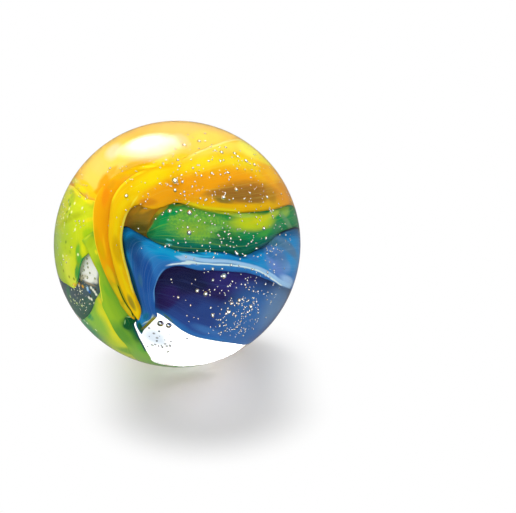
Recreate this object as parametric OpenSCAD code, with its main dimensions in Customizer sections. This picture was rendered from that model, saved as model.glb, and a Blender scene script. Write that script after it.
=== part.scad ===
// Large swirled glass marble: a clear glass ball with sheets of coloured glass folded into it.
// The origin is the ball's centre. +Z is up, and the side with the blue arch faces -Y.
// A place on the ball is [longitude, latitude, layer] in degrees. Longitude 0 is the front (-Y) and
// grows to the right, latitude 90 is the top, and layer 0 is the colour nearest the surface.

/* [Ball] */
// Diameter of the finished ball
ball_d = 35; // [30:0.5:50]

/* [Coloured sheets] */
// Clear glass that covers the outermost colour
cover = 0.7; // [0.6:0.05:1.2]
// Thickness of a sheet of coloured glass at its middle
sheet_t = 0.7; // [0.4:0.05:0.9]
// Clear film that parts one layer of colour from the next
film = 0.15; // [0.15:0.05:0.4]

/* [Seed bubbles] */
// How many of the larger bubbles lie in the clear cover
seed_n = 36; // [0:1:60]
// Diameter of the largest bubble
seed_d = 0.4; // [0.2:0.05:0.5]
// Diameter of the smallest bubble
seed_min_d = 0.2; // [0.1:0.05:0.2]

/* [Hidden] */
$fn = 96;

// Stations along a sheet, and spans across it from edge to edge
along_n = 24;
across_n = 5;
// A sheet keeps its full thickness until near its edges: a higher power is a blunter edge, and
// a higher taper is a thinner one
edge_power = 3;
edge_taper = 0.8;
end_power = 12;
end_taper = 0.5;
// Share of its thickness that a sheet has left at its two ends
end_share = 0.15;
// Angle from one bubble to the next, which spreads them evenly
golden_turn = 137.508;

// Each sheet is drawn between two edges that run from its start to its end. The right edge is
// the one on the right of somebody who walks along the sheet on the outside of the ball.

// Yellow ribbon: up the back, wide over the shoulder, and down the front left to a point
yellow_right = [
    [150, -52, 0], [141, -30, 0], [137, -5, 0], [133, 20, 0.5], [125, 44, 0.9], [108, 59, 1],
    [85, 67, 1], [62, 70, 1], [28, 70, 1], [6, 66.5, 0.9], [-12, 62.5, 0.6], [-21, 60, 0.4],
    [-31, 56, 0.2], [-38, 50.5, 0], [-41.5, 44, 0], [-41.5, 37.7, 0], [-39.3, 31.5, 0],
    [-36.4, 21.7, 0], [-33.4, 14.4, 0], [-30.4, 7, 0], [-27.6, 0, 0], [-23.7, -9.3, 0],
    [-22.3, -12.7, 0], [-20.8, -15.4, 0], [-20, -16.8, 0]
];
yellow_left = [
    [145, -54, 0], [126, -38, 0], [114, -14, 0], [104, 6, 0], [87.4, 20, 0.7], [63.5, 27, 1],
    [43.6, 31.5, 1], [32.7, 34, 1], [17.6, 37.5, 1], [7.7, 40.4, 1], [0.3, 42, 1], [-4.9, 41, 1],
    [-9, 39.4, 0.85], [-14, 38, 0.5], [-19.4, 38.4, 0.15], [-24, 38.9, 0], [-27, 36.9, 0],
    [-28.6, 33.3, 0], [-28.9, 27.7, 0], [-28.2, 21.6, 0], [-25.5, 13.4, 0], [-23, 6.7, 0],
    [-20.9, -0.5, 0], [-18.3, -7.8, 0], [-17.8, -10.7, 0], [-18.2, -13.6, 0], [-19.3, -16.4, 0]
];

// Orange ribbon: beside the yellow one, from under its bend
orange_right = [
    [-16, 63, 1.7], [-28, 62, 1.4], [-42, 58, 1.1], [-55, 48, 1], [-57, 37, 1], [-49, 23, 1],
    [-41, 10, 1], [-31, -6.3, 1], [-29.3, -10.4, 1], [-26.9, -14.1, 1], [-24.8, -16.9, 1],
    [-23.2, -18.2, 1]
];
orange_left = [
    [-14, 58, 1.7], [-22, 53, 1.5], [-31, 48, 1.2], [-38, 43, 1], [-40, 36, 1], [-36, 24, 1],
    [-32, 13, 1], [-28.5, 3, 1], [-23.8, -8.8, 1], [-22.8, -13.2, 1], [-22.4, -16.4, 1],
    [-22.4, -17.9, 1]
];

// Amber canopy: the cap over the top, from the front rim to the back rim
canopy_right = [
    [-122, 9, 4.1], [-104, 20, 4.1], [-84, 26, 4.1], [-70, 27, 4.1], [-58, 22, 4.1],
    [-48, 18, 4.1], [-40, 17, 3.9], [-33, 17.5, 3.4], [-25, 18.5, 3], [-17, 19, 3], [-8, 22, 3],
    [3, 26, 3], [14, 26, 3], [28, 24, 3], [48, 20, 3], [68, 17, 3], [90, 12, 3], [112, 4, 3.1]
];
canopy_left = [
    [-144, 28, 3.3], [-152, 40, 2.4], [-165, 48, 1.8], [170, 44, 1.6], [148, 42, 2],
    [130, 30, 2.4], [117, 12, 3]
];

// Green band: across the front from the ribbon to the right and on round the back
green_right = [
    [-17, 25.5, 2], [-12, 20.5, 2], [-2, 16, 2], [8, 13, 2], [18, 11.5, 2], [28, 9.5, 2],
    [38, 8, 2], [52, 8.5, 2], [72, 6, 2], [95, 0, 2], [120, 3, 2], [145, 9, 2], [167, 8, 2]
];
green_left = [
    [-17.4, 27.8, 2], [-15.6, 33.5, 2], [-10.6, 40.2, 2], [-4, 43, 2], [6, 46, 2], [16, 44, 2],
    [25, 41, 2], [35, 38, 2], [49, 35, 2], [67, 31, 2], [93, 25, 2], [120, 22, 2], [145, 22, 2],
    [168, 10, 2]
];

// Blue arch: up a column, over the dark hollow and away round the right side
blue_right = [
    [-20.1, -27.3, 1], [-18.9, -25, 1], [-17.1, -22.8, 1], [-14.2, -19.5, 1], [-12.2, -17.2, 1],
    [-10.6, -15.2, 1], [-10.6, -13.2, 1], [-11.2, -10.2, 1], [-11.2, -5.8, 1], [-11.3, -1.5, 1],
    [-10.7, 1.8, 1], [-9, 6.2, 1], [-6.2, 9.6, 1], [-2.4, 11.3, 1], [1.6, 11.5, 1],
    [5.6, 10.3, 1], [10, 9, 1], [17.9, 8, 1], [26.4, 6, 1], [35.6, 3.2, 1], [46, -2.4, 1],
    [60.4, -11.2, 1], [78.7, -20.8, 1], [96, -34, 1], [114, -45, 1], [131, -48, 1]
];
blue_left = [
    [-20.7, -27.3, 1], [-21.6, -25.1, 1], [-22.3, -22.6, 1], [-22.2, -19.6, 1], [-21, -16.2, 1],
    [-22, -8, 1], [-25.5, 4, 1], [-29, 13, 1], [-31.5, 20, 1], [-32.5, 26, 1], [-29, 28.6, 1],
    [-23, 27, 1], [-16, 24.6, 1], [-8.7, 21.6, 1], [-3.8, 20, 1], [0.5, 18.6, 1], [6, 18.4, 1],
    [12, 17.5, 1], [18, 17.3, 1], [24.6, 15.8, 1], [28.7, 14, 1], [33, 12.4, 1], [37, 12.3, 1],
    [42, 13.2, 1], [49, 13.4, 1], [57, 15.3, 1], [66, 15.2, 1], [84, 10, 1], [104, -2, 1],
    [122, -22, 1], [134, -44, 1]
];

// Violet wall: the deep back of the hollow, rising towards the surface at the right
violet_right = [
    [-20, -17, 4.6], [-13.7, -19, 4.5], [-9.3, -21.3, 4.4], [-4, -26, 4.3], [2.6, -32.2, 4.2],
    [10, -36.8, 4.1], [25.6, -42, 3.8], [42.5, -46.6, 3.3], [70, -53, 2.8], [88, -54, 2.6],
    [110, -40, 2.6]
];
violet_left = [
    [-19, 10, 4.6], [-8, 16, 4.8], [4, 18, 4.8], [20, 14, 4.6], [40, 8, 4.2], [64, -5, 3.6],
    [92, -18, 3], [112, -32, 2.6]
];

// Lime lobe: the left flank, over the canopy's rim and down to a tongue
lobe_right = [
    [-142, 14, 2.6], [-138, 4, 2.9], [-126, -5, 3], [-108, -12, 3], [-87, -15.5, 3],
    [-76, -14.5, 3], [-67, -13.9, 3]
];
lobe_left = [
    [-140, 19, 2.4], [-124, 20, 2.2], [-109, 24.5, 2.1], [-93, 31, 2.2], [-84, 32.6, 2.6],
    [-75, 33.4, 2.9], [-68, 34.2, 3], [-61, 35.6, 3], [-54, 36.5, 3], [-48, 34, 3], [-45, 28, 3],
    [-43.5, 19, 3], [-48, 14, 3], [-52.8, 9.6, 3], [-56.4, 5.4, 3], [-58.6, 0, 3],
    [-60, -5.5, 3], [-62, -9.2, 3], [-64.6, -12.4, 3]
];

// Leaf strand: from the lobe's fold down to the bottom left and on under the ball
strand_right = [
    [-57.5, 15, 2], [-53.5, 13, 2], [-50.4, 10.2, 2], [-46.5, 6.1, 2], [-43, 2, 2],
    [-42.7, -2.6, 2], [-42.3, -6.6, 2], [-42.1, -11.6, 2], [-42.3, -16.1, 2], [-41.3, -19.9, 2],
    [-40.2, -24.7, 2], [-39.6, -30.1, 2], [-38.8, -34.5, 2], [-38, -37.9, 2], [-36.8, -41, 2],
    [-37.5, -46, 2], [-42, -56, 2], [-48, -66, 2], [-35, -73, 2], [0, -77, 2], [30, -76, 2],
    [50, -71.5, 2]
];
strand_left = [
    [-46, 26, 2], [-41, 18, 2], [-36, 7, 2], [-31, -3, 2], [-25, -12, 2], [-21.4, -19, 2],
    [-23.4, -21.3, 2], [-24.5, -23.4, 2], [-24.4, -25.5, 2], [-24, -28.7, 2], [-23.6, -33.2, 2],
    [-22.9, -37.9, 2], [-22.7, -43.9, 2], [-22.9, -51.2, 2], [-24.5, -58, 2], [-16, -64, 2],
    [1, -66.4, 2], [25, -67.6, 2], [49, -68.4, 2]
];

// Lime skirt: below the dark patch, turning under the ball
skirt_right = [
    [-43.5, -8, 3], [-46.6, -12.1, 3], [-49.6, -16.1, 3], [-52.7, -20.7, 3], [-56.9, -25, 3],
    [-64.2, -30, 3], [-81.1, -37, 3], [-84, -39.5, 3], [-98, -44, 3], [-112, -48, 3]
];
skirt_left = [
    [-36, -8, 3], [-34, -18, 3], [-33, -28, 3], [-33, -42, 3], [-38, -56, 3], [-62, -65, 3],
    [-110, -50, 3]
];

// Teal patch: a scrap that lies deep in the gap between lobe, strand and skirt
teal_right = [
    [-98, -32, 4.2], [-88, -38, 4.2], [-72, -40, 4.2], [-54, -34, 4.2], [-38, -20, 4.2]
];
teal_left = [
    [-96, -12, 4.2], [-80, -8, 4.2], [-69, -2, 4.2], [-63, 5, 4.2], [-58, 11, 4.2],
    [-52, 13, 4.2], [-46.5, 8, 4.2], [-42, 1, 4.2], [-38, -6, 4.2]
];

// Direction from the centre to a longitude and latitude
function toward(lon, lat) = [sin(lon) * cos(lat), -cos(lon) * cos(lat), sin(lat)];

// Radius at the middle of a layer
function layer_r(layer) = ball_d / 2 - cover - sheet_t / 2 - (sheet_t + film) * layer;

// An edge's rows as direction and layer, [x, y, z, layer]
function placed(rows) = [for (r = rows) concat(toward(r[0], r[1]), r[2])];

function xyz(p) = [p[0], p[1], p[2]];

// Running length along the points, as shares of the whole
function run(p, i = 0, sum = 0) =
    i == len(p) - 1 ? [sum] : concat([sum], run(p, i + 1, sum + norm(xyz(p[i + 1]) - xyz(p[i]))));
function shares(p) = let (s = run(p)) s / s[len(s) - 1];

// Index of the span that holds the share t
function span(knots, t, i = 0) =
    i >= len(knots) - 2 || t < knots[i + 1] ? i : span(knots, t, i + 1);

// Smooth curve through the points p at the share t of its length (a Catmull-Rom spline)
function curve(p, knots, t) =
    let (
        n = len(p),
        i = span(knots, t),
        f = (t - knots[i]) / (knots[i + 1] - knots[i]),
        a = i > 0 ? p[i - 1] : 2 * p[0] - p[1],
        b = p[i],
        c = p[i + 1],
        d = i < n - 2 ? p[i + 2] : 2 * p[n - 1] - p[n - 2]
    )
    (2 * b + (c - a) * f + (2 * a - 5 * b + 4 * c - d) * f * f
        + (3 * b - a - 3 * c + d) * f * f * f) / 2;

// Point at the share v of the great circle from direction a to direction b
function between(a, b, v) =
    let (w = acos(min(1, a * b))) w < 0.01 ? a : (a * sin((1 - v) * w) + b * sin(v * w)) / sin(w);

// How thick a sheet is, as a share of its middle, at the share s from one side to the other
function fullness(s, power, taper) = pow(max(0, 1 - pow(abs(2 * s - 1), power)), taper);

// Shares across a sheet, closer together near its edges
function steps(n) = [for (j = [0:n]) 0.35 * (0.5 - 0.5 * cos(180 * j / n)) + 0.65 * j / n];

// One ring round a sheet's section: over the outer face from right to left, and back beneath
function ring(right, left, u, n) =
    let (
        a = xyz(right) / norm(xyz(right)),
        b = xyz(left) / norm(xyz(left)),
        v = steps(n),
        full = end_share + (1 - end_share) * fullness(u, end_power, end_taper)
    )
    [
        for (side = [1, -1])
            for (j = side > 0 ? [0:n] : [n - 1:-1:1])
                between(a, b, v[j]) * (
                    layer_r(right[3] + (left[3] - right[3]) * v[j])
                    + side * full * fullness(v[j], edge_power, edge_taper) * sheet_t / 2
                )
    ];

// A closed sheet of glass between its right and left edges
module sheet(right_rows, left_rows, along = along_n, across = across_n) {
    right = placed(right_rows);
    left = placed(left_rows);
    right_knots = shares(right);
    left_knots = shares(left);
    around = 2 * across;
    points = [
        for (i = [0:along - 1])
            let (u = i / (along - 1))
            each ring(curve(right, right_knots, u), curve(left, left_knots, u), u, across)
    ];
    skin = [
        for (i = [0:along - 2], j = [0:around - 1])
            let (a = i * around, b = a + around, k = (j + 1) % around)
            each [[a + j, a + k, b + k], [a + j, b + k, b + j]]
    ];
    // Each end is closed by a strip of triangles from the outer face to the inner one
    start = [
        for (j = [0:across - 1])
            let (k = around - j - 1)
            each [
                if (k > j + 1) [j + 1, j, k],
                if (j > 0) [j, k + 1, k]
            ]
    ];
    last = (along - 1) * around;
    finish = [for (t = start) [t[2] + last, t[1] + last, t[0] + last]];
    polyhedron(points, concat(skin, start, finish), convexity = 6);
}

module yellow_ribbon() {
    color("#F5C90A") sheet(yellow_right, yellow_left, along = 36, across = 7);
}

module orange_ribbon() {
    color("#F09A08") sheet(orange_right, orange_left, along = 18);
}

module amber_canopy() {
    color("#D98A18") sheet(canopy_right, canopy_left, along = 28, across = 10);
}

module green_band() {
    color("#1F9048") sheet(green_right, green_left, along = 26);
}

module blue_arch() {
    color("#1C78C4") sheet(blue_right, blue_left, along = 32);
}

module violet_wall() {
    color("#2B2568") sheet(violet_right, violet_left, across = 6);
}

module lime_lobe() {
    color("#C4D61C") sheet(lobe_right, lobe_left, across = 7);
}

module leaf_strand() {
    color("#5FA52E") sheet(strand_right, strand_left);
}

module lime_skirt() {
    color("#A9C428") sheet(skirt_right, skirt_left, along = 18, across = 4);
}

module teal_patch() {
    color("#3F6A5C") sheet(teal_right, teal_left, along = 12, across = 4);
}

// Round bubbles shut in the clear cover, spread evenly over the ball
module seed_bubbles() {
    sizes = rands(seed_min_d, seed_d, max(1, seed_n), 7);
    for (i = [0:1:seed_n - 1])
        translate((ball_d - cover) / 2 * toward(i * golden_turn, asin(1 - (2 * i + 1) / seed_n)))
            sphere(d = sizes[i], $fn = 24);
}

// The clear ball, hollowed exactly where the colours and the bubbles lie
module clear_glass() {
    color("#E4F2EE", 0.3) difference() {
        sphere(d = ball_d);
        yellow_ribbon();
        orange_ribbon();
        amber_canopy();
        green_band();
        blue_arch();
        violet_wall();
        lime_lobe();
        leaf_strand();
        lime_skirt();
        teal_patch();
        seed_bubbles();
    }
}

clear_glass();
yellow_ribbon();
orange_ribbon();
amber_canopy();
green_band();
blue_arch();
violet_wall();
lime_lobe();
leaf_strand();
lime_skirt();
teal_patch();
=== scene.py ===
"""Large swirled glass marble: the clear ball, the coloured sheets folded into it and its seed bubbles."""

import logging
import math
from dataclasses import dataclass, field

import bpy
import numpy as np
from mathutils import Matrix, Vector

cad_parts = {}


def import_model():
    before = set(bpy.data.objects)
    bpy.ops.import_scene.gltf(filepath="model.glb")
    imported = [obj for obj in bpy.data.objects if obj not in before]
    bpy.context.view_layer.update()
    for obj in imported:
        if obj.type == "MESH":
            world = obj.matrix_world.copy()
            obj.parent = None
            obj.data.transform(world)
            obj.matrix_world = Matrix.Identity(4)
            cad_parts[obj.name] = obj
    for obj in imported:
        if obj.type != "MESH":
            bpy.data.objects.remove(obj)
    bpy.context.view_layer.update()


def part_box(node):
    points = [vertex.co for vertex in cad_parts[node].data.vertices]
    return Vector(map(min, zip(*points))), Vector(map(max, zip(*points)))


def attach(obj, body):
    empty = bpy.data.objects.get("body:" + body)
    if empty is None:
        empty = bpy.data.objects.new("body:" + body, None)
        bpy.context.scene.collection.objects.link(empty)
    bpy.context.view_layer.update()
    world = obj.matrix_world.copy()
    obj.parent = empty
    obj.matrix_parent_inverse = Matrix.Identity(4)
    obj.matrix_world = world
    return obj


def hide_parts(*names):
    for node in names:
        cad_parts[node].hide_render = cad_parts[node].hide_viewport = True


MM = 0.001
ROOT = "root"
Tree = bpy.types.NodeTree
Socket = bpy.types.NodeSocket
log = logging.getLogger("marble")

# How colour lies in a sheet
PATCH_DEEP = 4.0  # half the depth of a patch, in millimetres: more than any sheet's thickness
PATCH_WAVES = 1.6  # waves in a patch's outline over its half length
GRAINS = 3600.0  # grains over a metre in a patch that is broken up
GRAIN_RANGE = (0.4, 0.6)  # noise at which such a patch has its thinnest and its full cover
DOT_CORE = 0.3  # share of a fleck's radius that is fully covered
FAR = 10.0  # millimetres from a sheet's edge that stand for 1 in the curve of a line's path
BAND_WAVES = (5, 3, 1)  # waves in the bands along a sheet and across it
STREAK_WAVES = (4, 40, 1)  # waves in the streaks along a sheet and across it
STREAK_RANGE = (0.5, 0.75)  # noise at which a streak begins and is full

# A sheet's section, as the solids have it
EVEN = 0.65  # share of even steps across a sheet, while the rest crowd toward its edges
EDGE_POWER, EDGE_TAPER = 3, 0.8  # how far out it stays thick, and how thin its edges are
END_POWER, END_TAPER, END_SHARE = 12, 0.5, 0.15  # the same at its ends, and what is left there

# How seed bubbles differ
LEAST_COVER = 0.1  # glass between a bubble and the ball's skin, in millimetres
LEAST_DEPTH = 0.3  # depth of the shallowest small bubble, in millimetres
DRAWN_OUT = 0.2  # share of the bubbles that were drawn out
DRAWN_LONGER = (0.3, 0.9)  # how much longer those are, as shares of their size
STAYED_ROUND = 0.5  # diameter from which a bubble stayed round, in millimetres
CROWDING = 0.65  # how much thicker a drift is in its middle: 0.5 would be even
MOSTLY_SMALL = 2.5  # how much commoner small bubbles are than large ones: 1 would be even
BUBBLE_FACES = (6, 8)  # spans of a bubble from pole to pole, and around it


# ---------------------------------------------------------------- small helpers


def linear(code: str) -> tuple[float, float, float, float]:
    """Turns an sRGB hex colour into the linear colour that Blender reads.

    Args:
        code: Six hex digits, with or without a leading #.

    Returns:
        Linear red, green and blue, and an alpha of 1.
    """
    parts = [int(code.lstrip("#")[i : i + 2], 16) / 255 for i in (0, 2, 4)]
    return (*(c / 12.92 if c <= 0.04045 else ((c + 0.055) / 1.055) ** 2.4 for c in parts), 1.0)


def under_glass(code: str) -> tuple[float, float, float, float]:
    """The colour that opal glass needs to look like a hex colour once it lies inside the clear ball.

    Light that meets the ball's skin from within is partly thrown back on the colour, which darkens it:
    seen = through * own / (1 - back * own), so own = seen / (through + back * seen).

    Args:
        code: The colour to be seen, as six hex digits.

    Returns:
        Linear red, green and blue of the glass itself, and an alpha of 1.
    """
    through, back = 0.80, 0.14
    own = (c / (through + back * c) for c in linear(code)[:3])
    return (*(min(c, 0.98) for c in own), 1.0)


def add(tree: Tree, kind: str, inputs: dict | None = None, **settings) -> bpy.types.Node:
    """Adds one node to a tree, sets its properties and fills or links its inputs.

    Args:
        tree: The node tree.
        kind: Blender's type name of the node.
        inputs: Socket name or number to a value, or to the output socket that feeds it.
        **settings: Properties of the node itself.

    Returns:
        The new node.
    """
    made = tree.nodes.new(kind)
    for name, value in settings.items():
        setattr(made, name, value)
    for key, value in (inputs or {}).items():
        socket = made.inputs[key]
        if isinstance(value, bpy.types.NodeSocket):
            tree.links.new(value, socket)
        else:
            socket.default_value = value
    return made


def worked(tree: Tree, operation: str, *values: Socket | float) -> Socket:
    """The result of one operation on numbers, each a value or the socket that feeds it."""
    return add(tree, "ShaderNodeMath", dict(enumerate(values)), operation=operation).outputs[0]


def eased(
    tree: Tree, value: Socket, none: float, full: float, least: float = 0.0, most: float = 1.0
) -> Socket:
    """Eases a number from its least to its most while a value goes from one end to the other.

    Args:
        tree: The node tree.
        value: The value.
        none: Where it gives the least.
        full: Where it gives the most.
        least: The smallest number.
        most: The largest number.

    Returns:
        The eased number.
    """
    return add(
        tree, "ShaderNodeMapRange", {"Value": value, 1: none, 2: full, 3: least, 4: most},
        interpolation_type="SMOOTHSTEP",
    ).outputs[0]


def laid_over(tree: Tree, cover: Socket, colour: Socket, code: str) -> Socket:
    """Lays a colour over another one.

    Args:
        tree: The node tree.
        cover: How fully it covers, from 0 to 1.
        colour: The colour beneath.
        code: The colour to be seen, as six hex digits.

    Returns:
        The new colour.
    """
    return add(
        tree, "ShaderNodeMix", {"Factor": cover, 6: colour, 7: under_glass(code)}, data_type="RGBA"
    ).outputs[2]


def blank(name: str) -> tuple[bpy.types.Material, Tree]:
    """Makes a material without nodes.

    Args:
        name: Its name.

    Returns:
        The material and its node tree.
    """
    material = bpy.data.materials.new(name)
    material.use_nodes = True
    material.node_tree.nodes.clear()
    return material, material.node_tree


def toward(lon: np.ndarray, lat: np.ndarray) -> np.ndarray:
    """Unit vectors from the ball's centre to longitudes and latitudes.

    x = sin(lon) cos(lat), y = -cos(lon) cos(lat), z = sin(lat), so longitude 0 is the front (-Y).

    Args:
        lon: Longitudes in degrees, growing to the right.
        lat: Latitudes in degrees.

    Returns:
        The vectors, one a row.
    """
    lon, lat = np.radians(lon), np.radians(lat)
    return np.stack([np.sin(lon) * np.cos(lat), -np.cos(lon) * np.cos(lat), np.sin(lat)], -1)


def curve(points: np.ndarray, shares: np.ndarray) -> np.ndarray:
    """A smooth Catmull-Rom curve through points, read at shares of its chord length.

    Args:
        points: One point a row. The first three columns are its place, and others follow along.
        shares: Where to read the curve, from 0 to 1.

    Returns:
        The points on the curve, one a row.
    """
    steps = np.linalg.norm(np.diff(points[:, :3], axis=0), axis=1)
    knots = np.r_[0.0, np.cumsum(steps)] / steps.sum()
    span = np.clip(np.searchsorted(knots, shares, side="right") - 1, 0, len(points) - 2)
    f = ((shares - knots[span]) / (knots[span + 1] - knots[span]))[:, None]
    held = np.vstack([2 * points[0] - points[1], points, 2 * points[-1] - points[-2]])
    a, b, c, d = (held[span + k] for k in range(4))
    return (2 * b + (c - a) * f + (2 * a - 5 * b + 4 * c - d) * f**2 + (3 * b - a - 3 * c + d) * f**3) / 2


def mesh_object(
    name: str, points: np.ndarray, faces: list[np.ndarray], patterns: dict[str, np.ndarray] | None = None
) -> bpy.types.Object:
    """Makes a smooth-shaded object from points in metres and its faces.

    Args:
        name: The piece's name.
        points: One vertex a row.
        faces: Arrays of vertex numbers, one face a row.
        patterns: Name of each pattern that the piece has, and each vertex's place in it.

    Returns:
        The object, linked to the scene.
    """
    mesh = bpy.data.meshes.new(name)
    corners = np.concatenate([f.ravel() for f in faces])
    totals = np.concatenate([np.full(len(f), f.shape[1]) for f in faces])
    mesh.vertices.add(len(points))
    mesh.vertices.foreach_set("co", points.astype(np.float32).ravel())
    mesh.loops.add(len(corners))
    mesh.loops.foreach_set("vertex_index", corners.astype(np.int32))
    mesh.polygons.add(len(totals))
    mesh.polygons.foreach_set("loop_start", np.r_[0, np.cumsum(totals)[:-1]].astype(np.int32))
    mesh.polygons.foreach_set("loop_total", totals.astype(np.int32))
    for pattern, places in (patterns or {}).items():
        layer = mesh.uv_layers.new(name=pattern)
        layer.data.foreach_set("uv", places[corners].astype(np.float32).ravel())
    mesh.update(calc_edges=True)
    mesh.validate()
    mesh.polygons.foreach_set("use_smooth", np.ones(len(mesh.polygons), bool))
    made = bpy.data.objects.new(name, mesh)
    bpy.context.scene.collection.objects.link(made)
    return made


def globe(rings: int, around: int) -> tuple[np.ndarray, list[np.ndarray]]:
    """A unit sphere of rings with one vertex at each pole, facing outwards.

    Args:
        rings: Spans from pole to pole.
        around: Faces in a ring.

    Returns:
        Its points, and its faces as quads and triangles.
    """
    lat = np.linspace(-90, 90, rings + 1)[1:-1]
    lon = np.arange(around) * 360 / around
    points = np.vstack([toward(*np.meshgrid(lon, lat)).reshape(-1, 3), [0, 0, -1], [0, 0, 1]])
    i, j = np.arange(rings - 2)[:, None] * around, np.arange(around)[None]
    k = (j + 1) % around
    quads = np.stack([i + j, i + k, i + around + k, i + around + j], -1).reshape(-1, 4)
    south, north, last = len(points) - 2, len(points) - 1, (rings - 2) * around
    j, k = j[0], k[0]
    tips = np.vstack([
        np.stack([np.full(around, south), k, j], -1),
        np.stack([np.full(around, north), last + j, last + k], -1),
    ])
    return points, [quads, tips]


# ---------------------------------------------------------------- the build of the ball


@dataclass(frozen=True)
class Build:
    """How the ball is layered, in millimetres.

    Attributes:
        radius: Radius of the ball.
        cover: Clear glass over the outermost colour.
        sheet: Thickness of a coloured sheet at its middle.
        film: Clear film between two layers of colour.
    """

    radius: float
    cover: float = 0.7
    sheet: float = 0.7
    film: float = 0.15

    def layer(self, number: np.ndarray) -> np.ndarray:
        """Radius at the middle of a layer, counted inwards from 0."""
        return self.radius - self.cover - self.sheet / 2 - (self.sheet + self.film) * number


@dataclass(frozen=True)
class Patch:
    """A soft-edged field of another colour in a sheet, as an ellipsoid in the ball.

    Attributes:
        lon: Longitude of its middle.
        lat: Latitude of its middle.
        layer: Layer of its middle.
        wide: Half its length along its own direction, in millimetres.
        high: Half its width across that, in millimetres.
        turn: Angle of its direction up from level, in degrees.
        colour: Its colour.
        strength: How fully it covers, from 0 to 1.
        core: Share of its radius that is fully covered.
        rough: How far its outline wanders, as a share of its size.
        broken: How far fine grain breaks it up, from 0 to 1.
    """

    lon: float
    lat: float
    layer: float
    wide: float
    high: float
    turn: float
    colour: str
    strength: float = 1.0
    core: float = 0.3
    rough: float = 0.15
    broken: float = 0.0

    def over(self, tree: Tree, place: Socket, colour: Socket, build: Build) -> Socket:
        """Lays the patch over a colour: 1 minus the distance from its middle, with noise, eased.

        Args:
            tree: The node tree.
            place: The object's own coordinates.
            colour: The colour beneath.
            build: The ball's layers.

        Returns:
            The new colour.
        """
        out = Vector(toward(self.lon, self.lat))
        level = Vector((0, 0, 1)).cross(out).normalized()
        up = out.cross(level)
        turn = math.radians(self.turn)
        along = level * math.cos(turn) + up * math.sin(turn)
        across = out.cross(along)
        spin = Matrix((along, across, out)).transposed().to_euler()
        local = add(
            tree, "ShaderNodeMapping",
            {
                "Vector": place, "Location": out * build.layer(self.layer) * MM, "Rotation": spin,
                "Scale": Vector((self.wide, self.high, PATCH_DEEP)) * MM,
            },
            vector_type="TEXTURE",
        ).outputs[0]
        ruffle = add(tree, "ShaderNodeTexNoise", {"Vector": local, "Scale": PATCH_WAVES, "Detail": 4.0})
        pushed = add(
            tree, "ShaderNodeVectorMath",
            {0: ruffle.outputs["Color"], 1: (2 * self.rough,) * 3, 2: (-self.rough,) * 3},
            operation="MULTIPLY_ADD",
        )
        moved = add(tree, "ShaderNodeVectorMath", {0: local, 1: pushed.outputs[0]}, operation="ADD")
        ball = add(tree, "ShaderNodeTexGradient", {0: moved.outputs[0]}, gradient_type="SPHERICAL")
        cover = eased(tree, ball.outputs["Fac"], 0.0, 1.0 - self.core, most=self.strength)
        if self.broken:
            grain = add(tree, "ShaderNodeTexNoise", {"Vector": place, "Scale": GRAINS, "Detail": 2.0})
            kept = eased(tree, grain.outputs["Fac"], *GRAIN_RANGE, least=1.0 - self.broken)
            cover = worked(tree, "MULTIPLY", cover, kept)
        return laid_over(tree, cover, colour, self.colour)


@dataclass(frozen=True)
class Dots:
    """Small round flecks of one colour in a sheet.

    Attributes:
        places: Longitude and latitude of each.
        layer: Layer of their middles.
        size: Radius at which they have faded out, in millimetres.
        colour: Their colour.
        strength: How fully they cover, from 0 to 1.
    """

    places: tuple[tuple[float, float], ...]
    layer: float
    size: float
    colour: str
    strength: float = 0.9

    def over(self, tree: Tree, place: Socket, colour: Socket, build: Build) -> Socket:
        """Lays the flecks over a colour, by the angle to the nearest of them.

        Args:
            tree: The node tree.
            place: The object's own coordinates.
            colour: The colour beneath.
            build: The ball's layers.

        Returns:
            The new colour.
        """
        near = None
        out = add(tree, "ShaderNodeVectorMath", {0: place}, operation="NORMALIZE").outputs[0]
        for lon, lat in self.places:
            middle = Vector(toward(lon, lat))
            gap = add(tree, "ShaderNodeVectorMath", {0: out, 1: middle}, operation="DISTANCE")
            off = gap.outputs["Value"]
            near = off if near is None else worked(tree, "MINIMUM", off, near)
        wide = self.size / build.layer(self.layer)
        cover = eased(tree, near, wide, DOT_CORE * wide, most=self.strength)
        return laid_over(tree, cover, colour, self.colour)


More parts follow.
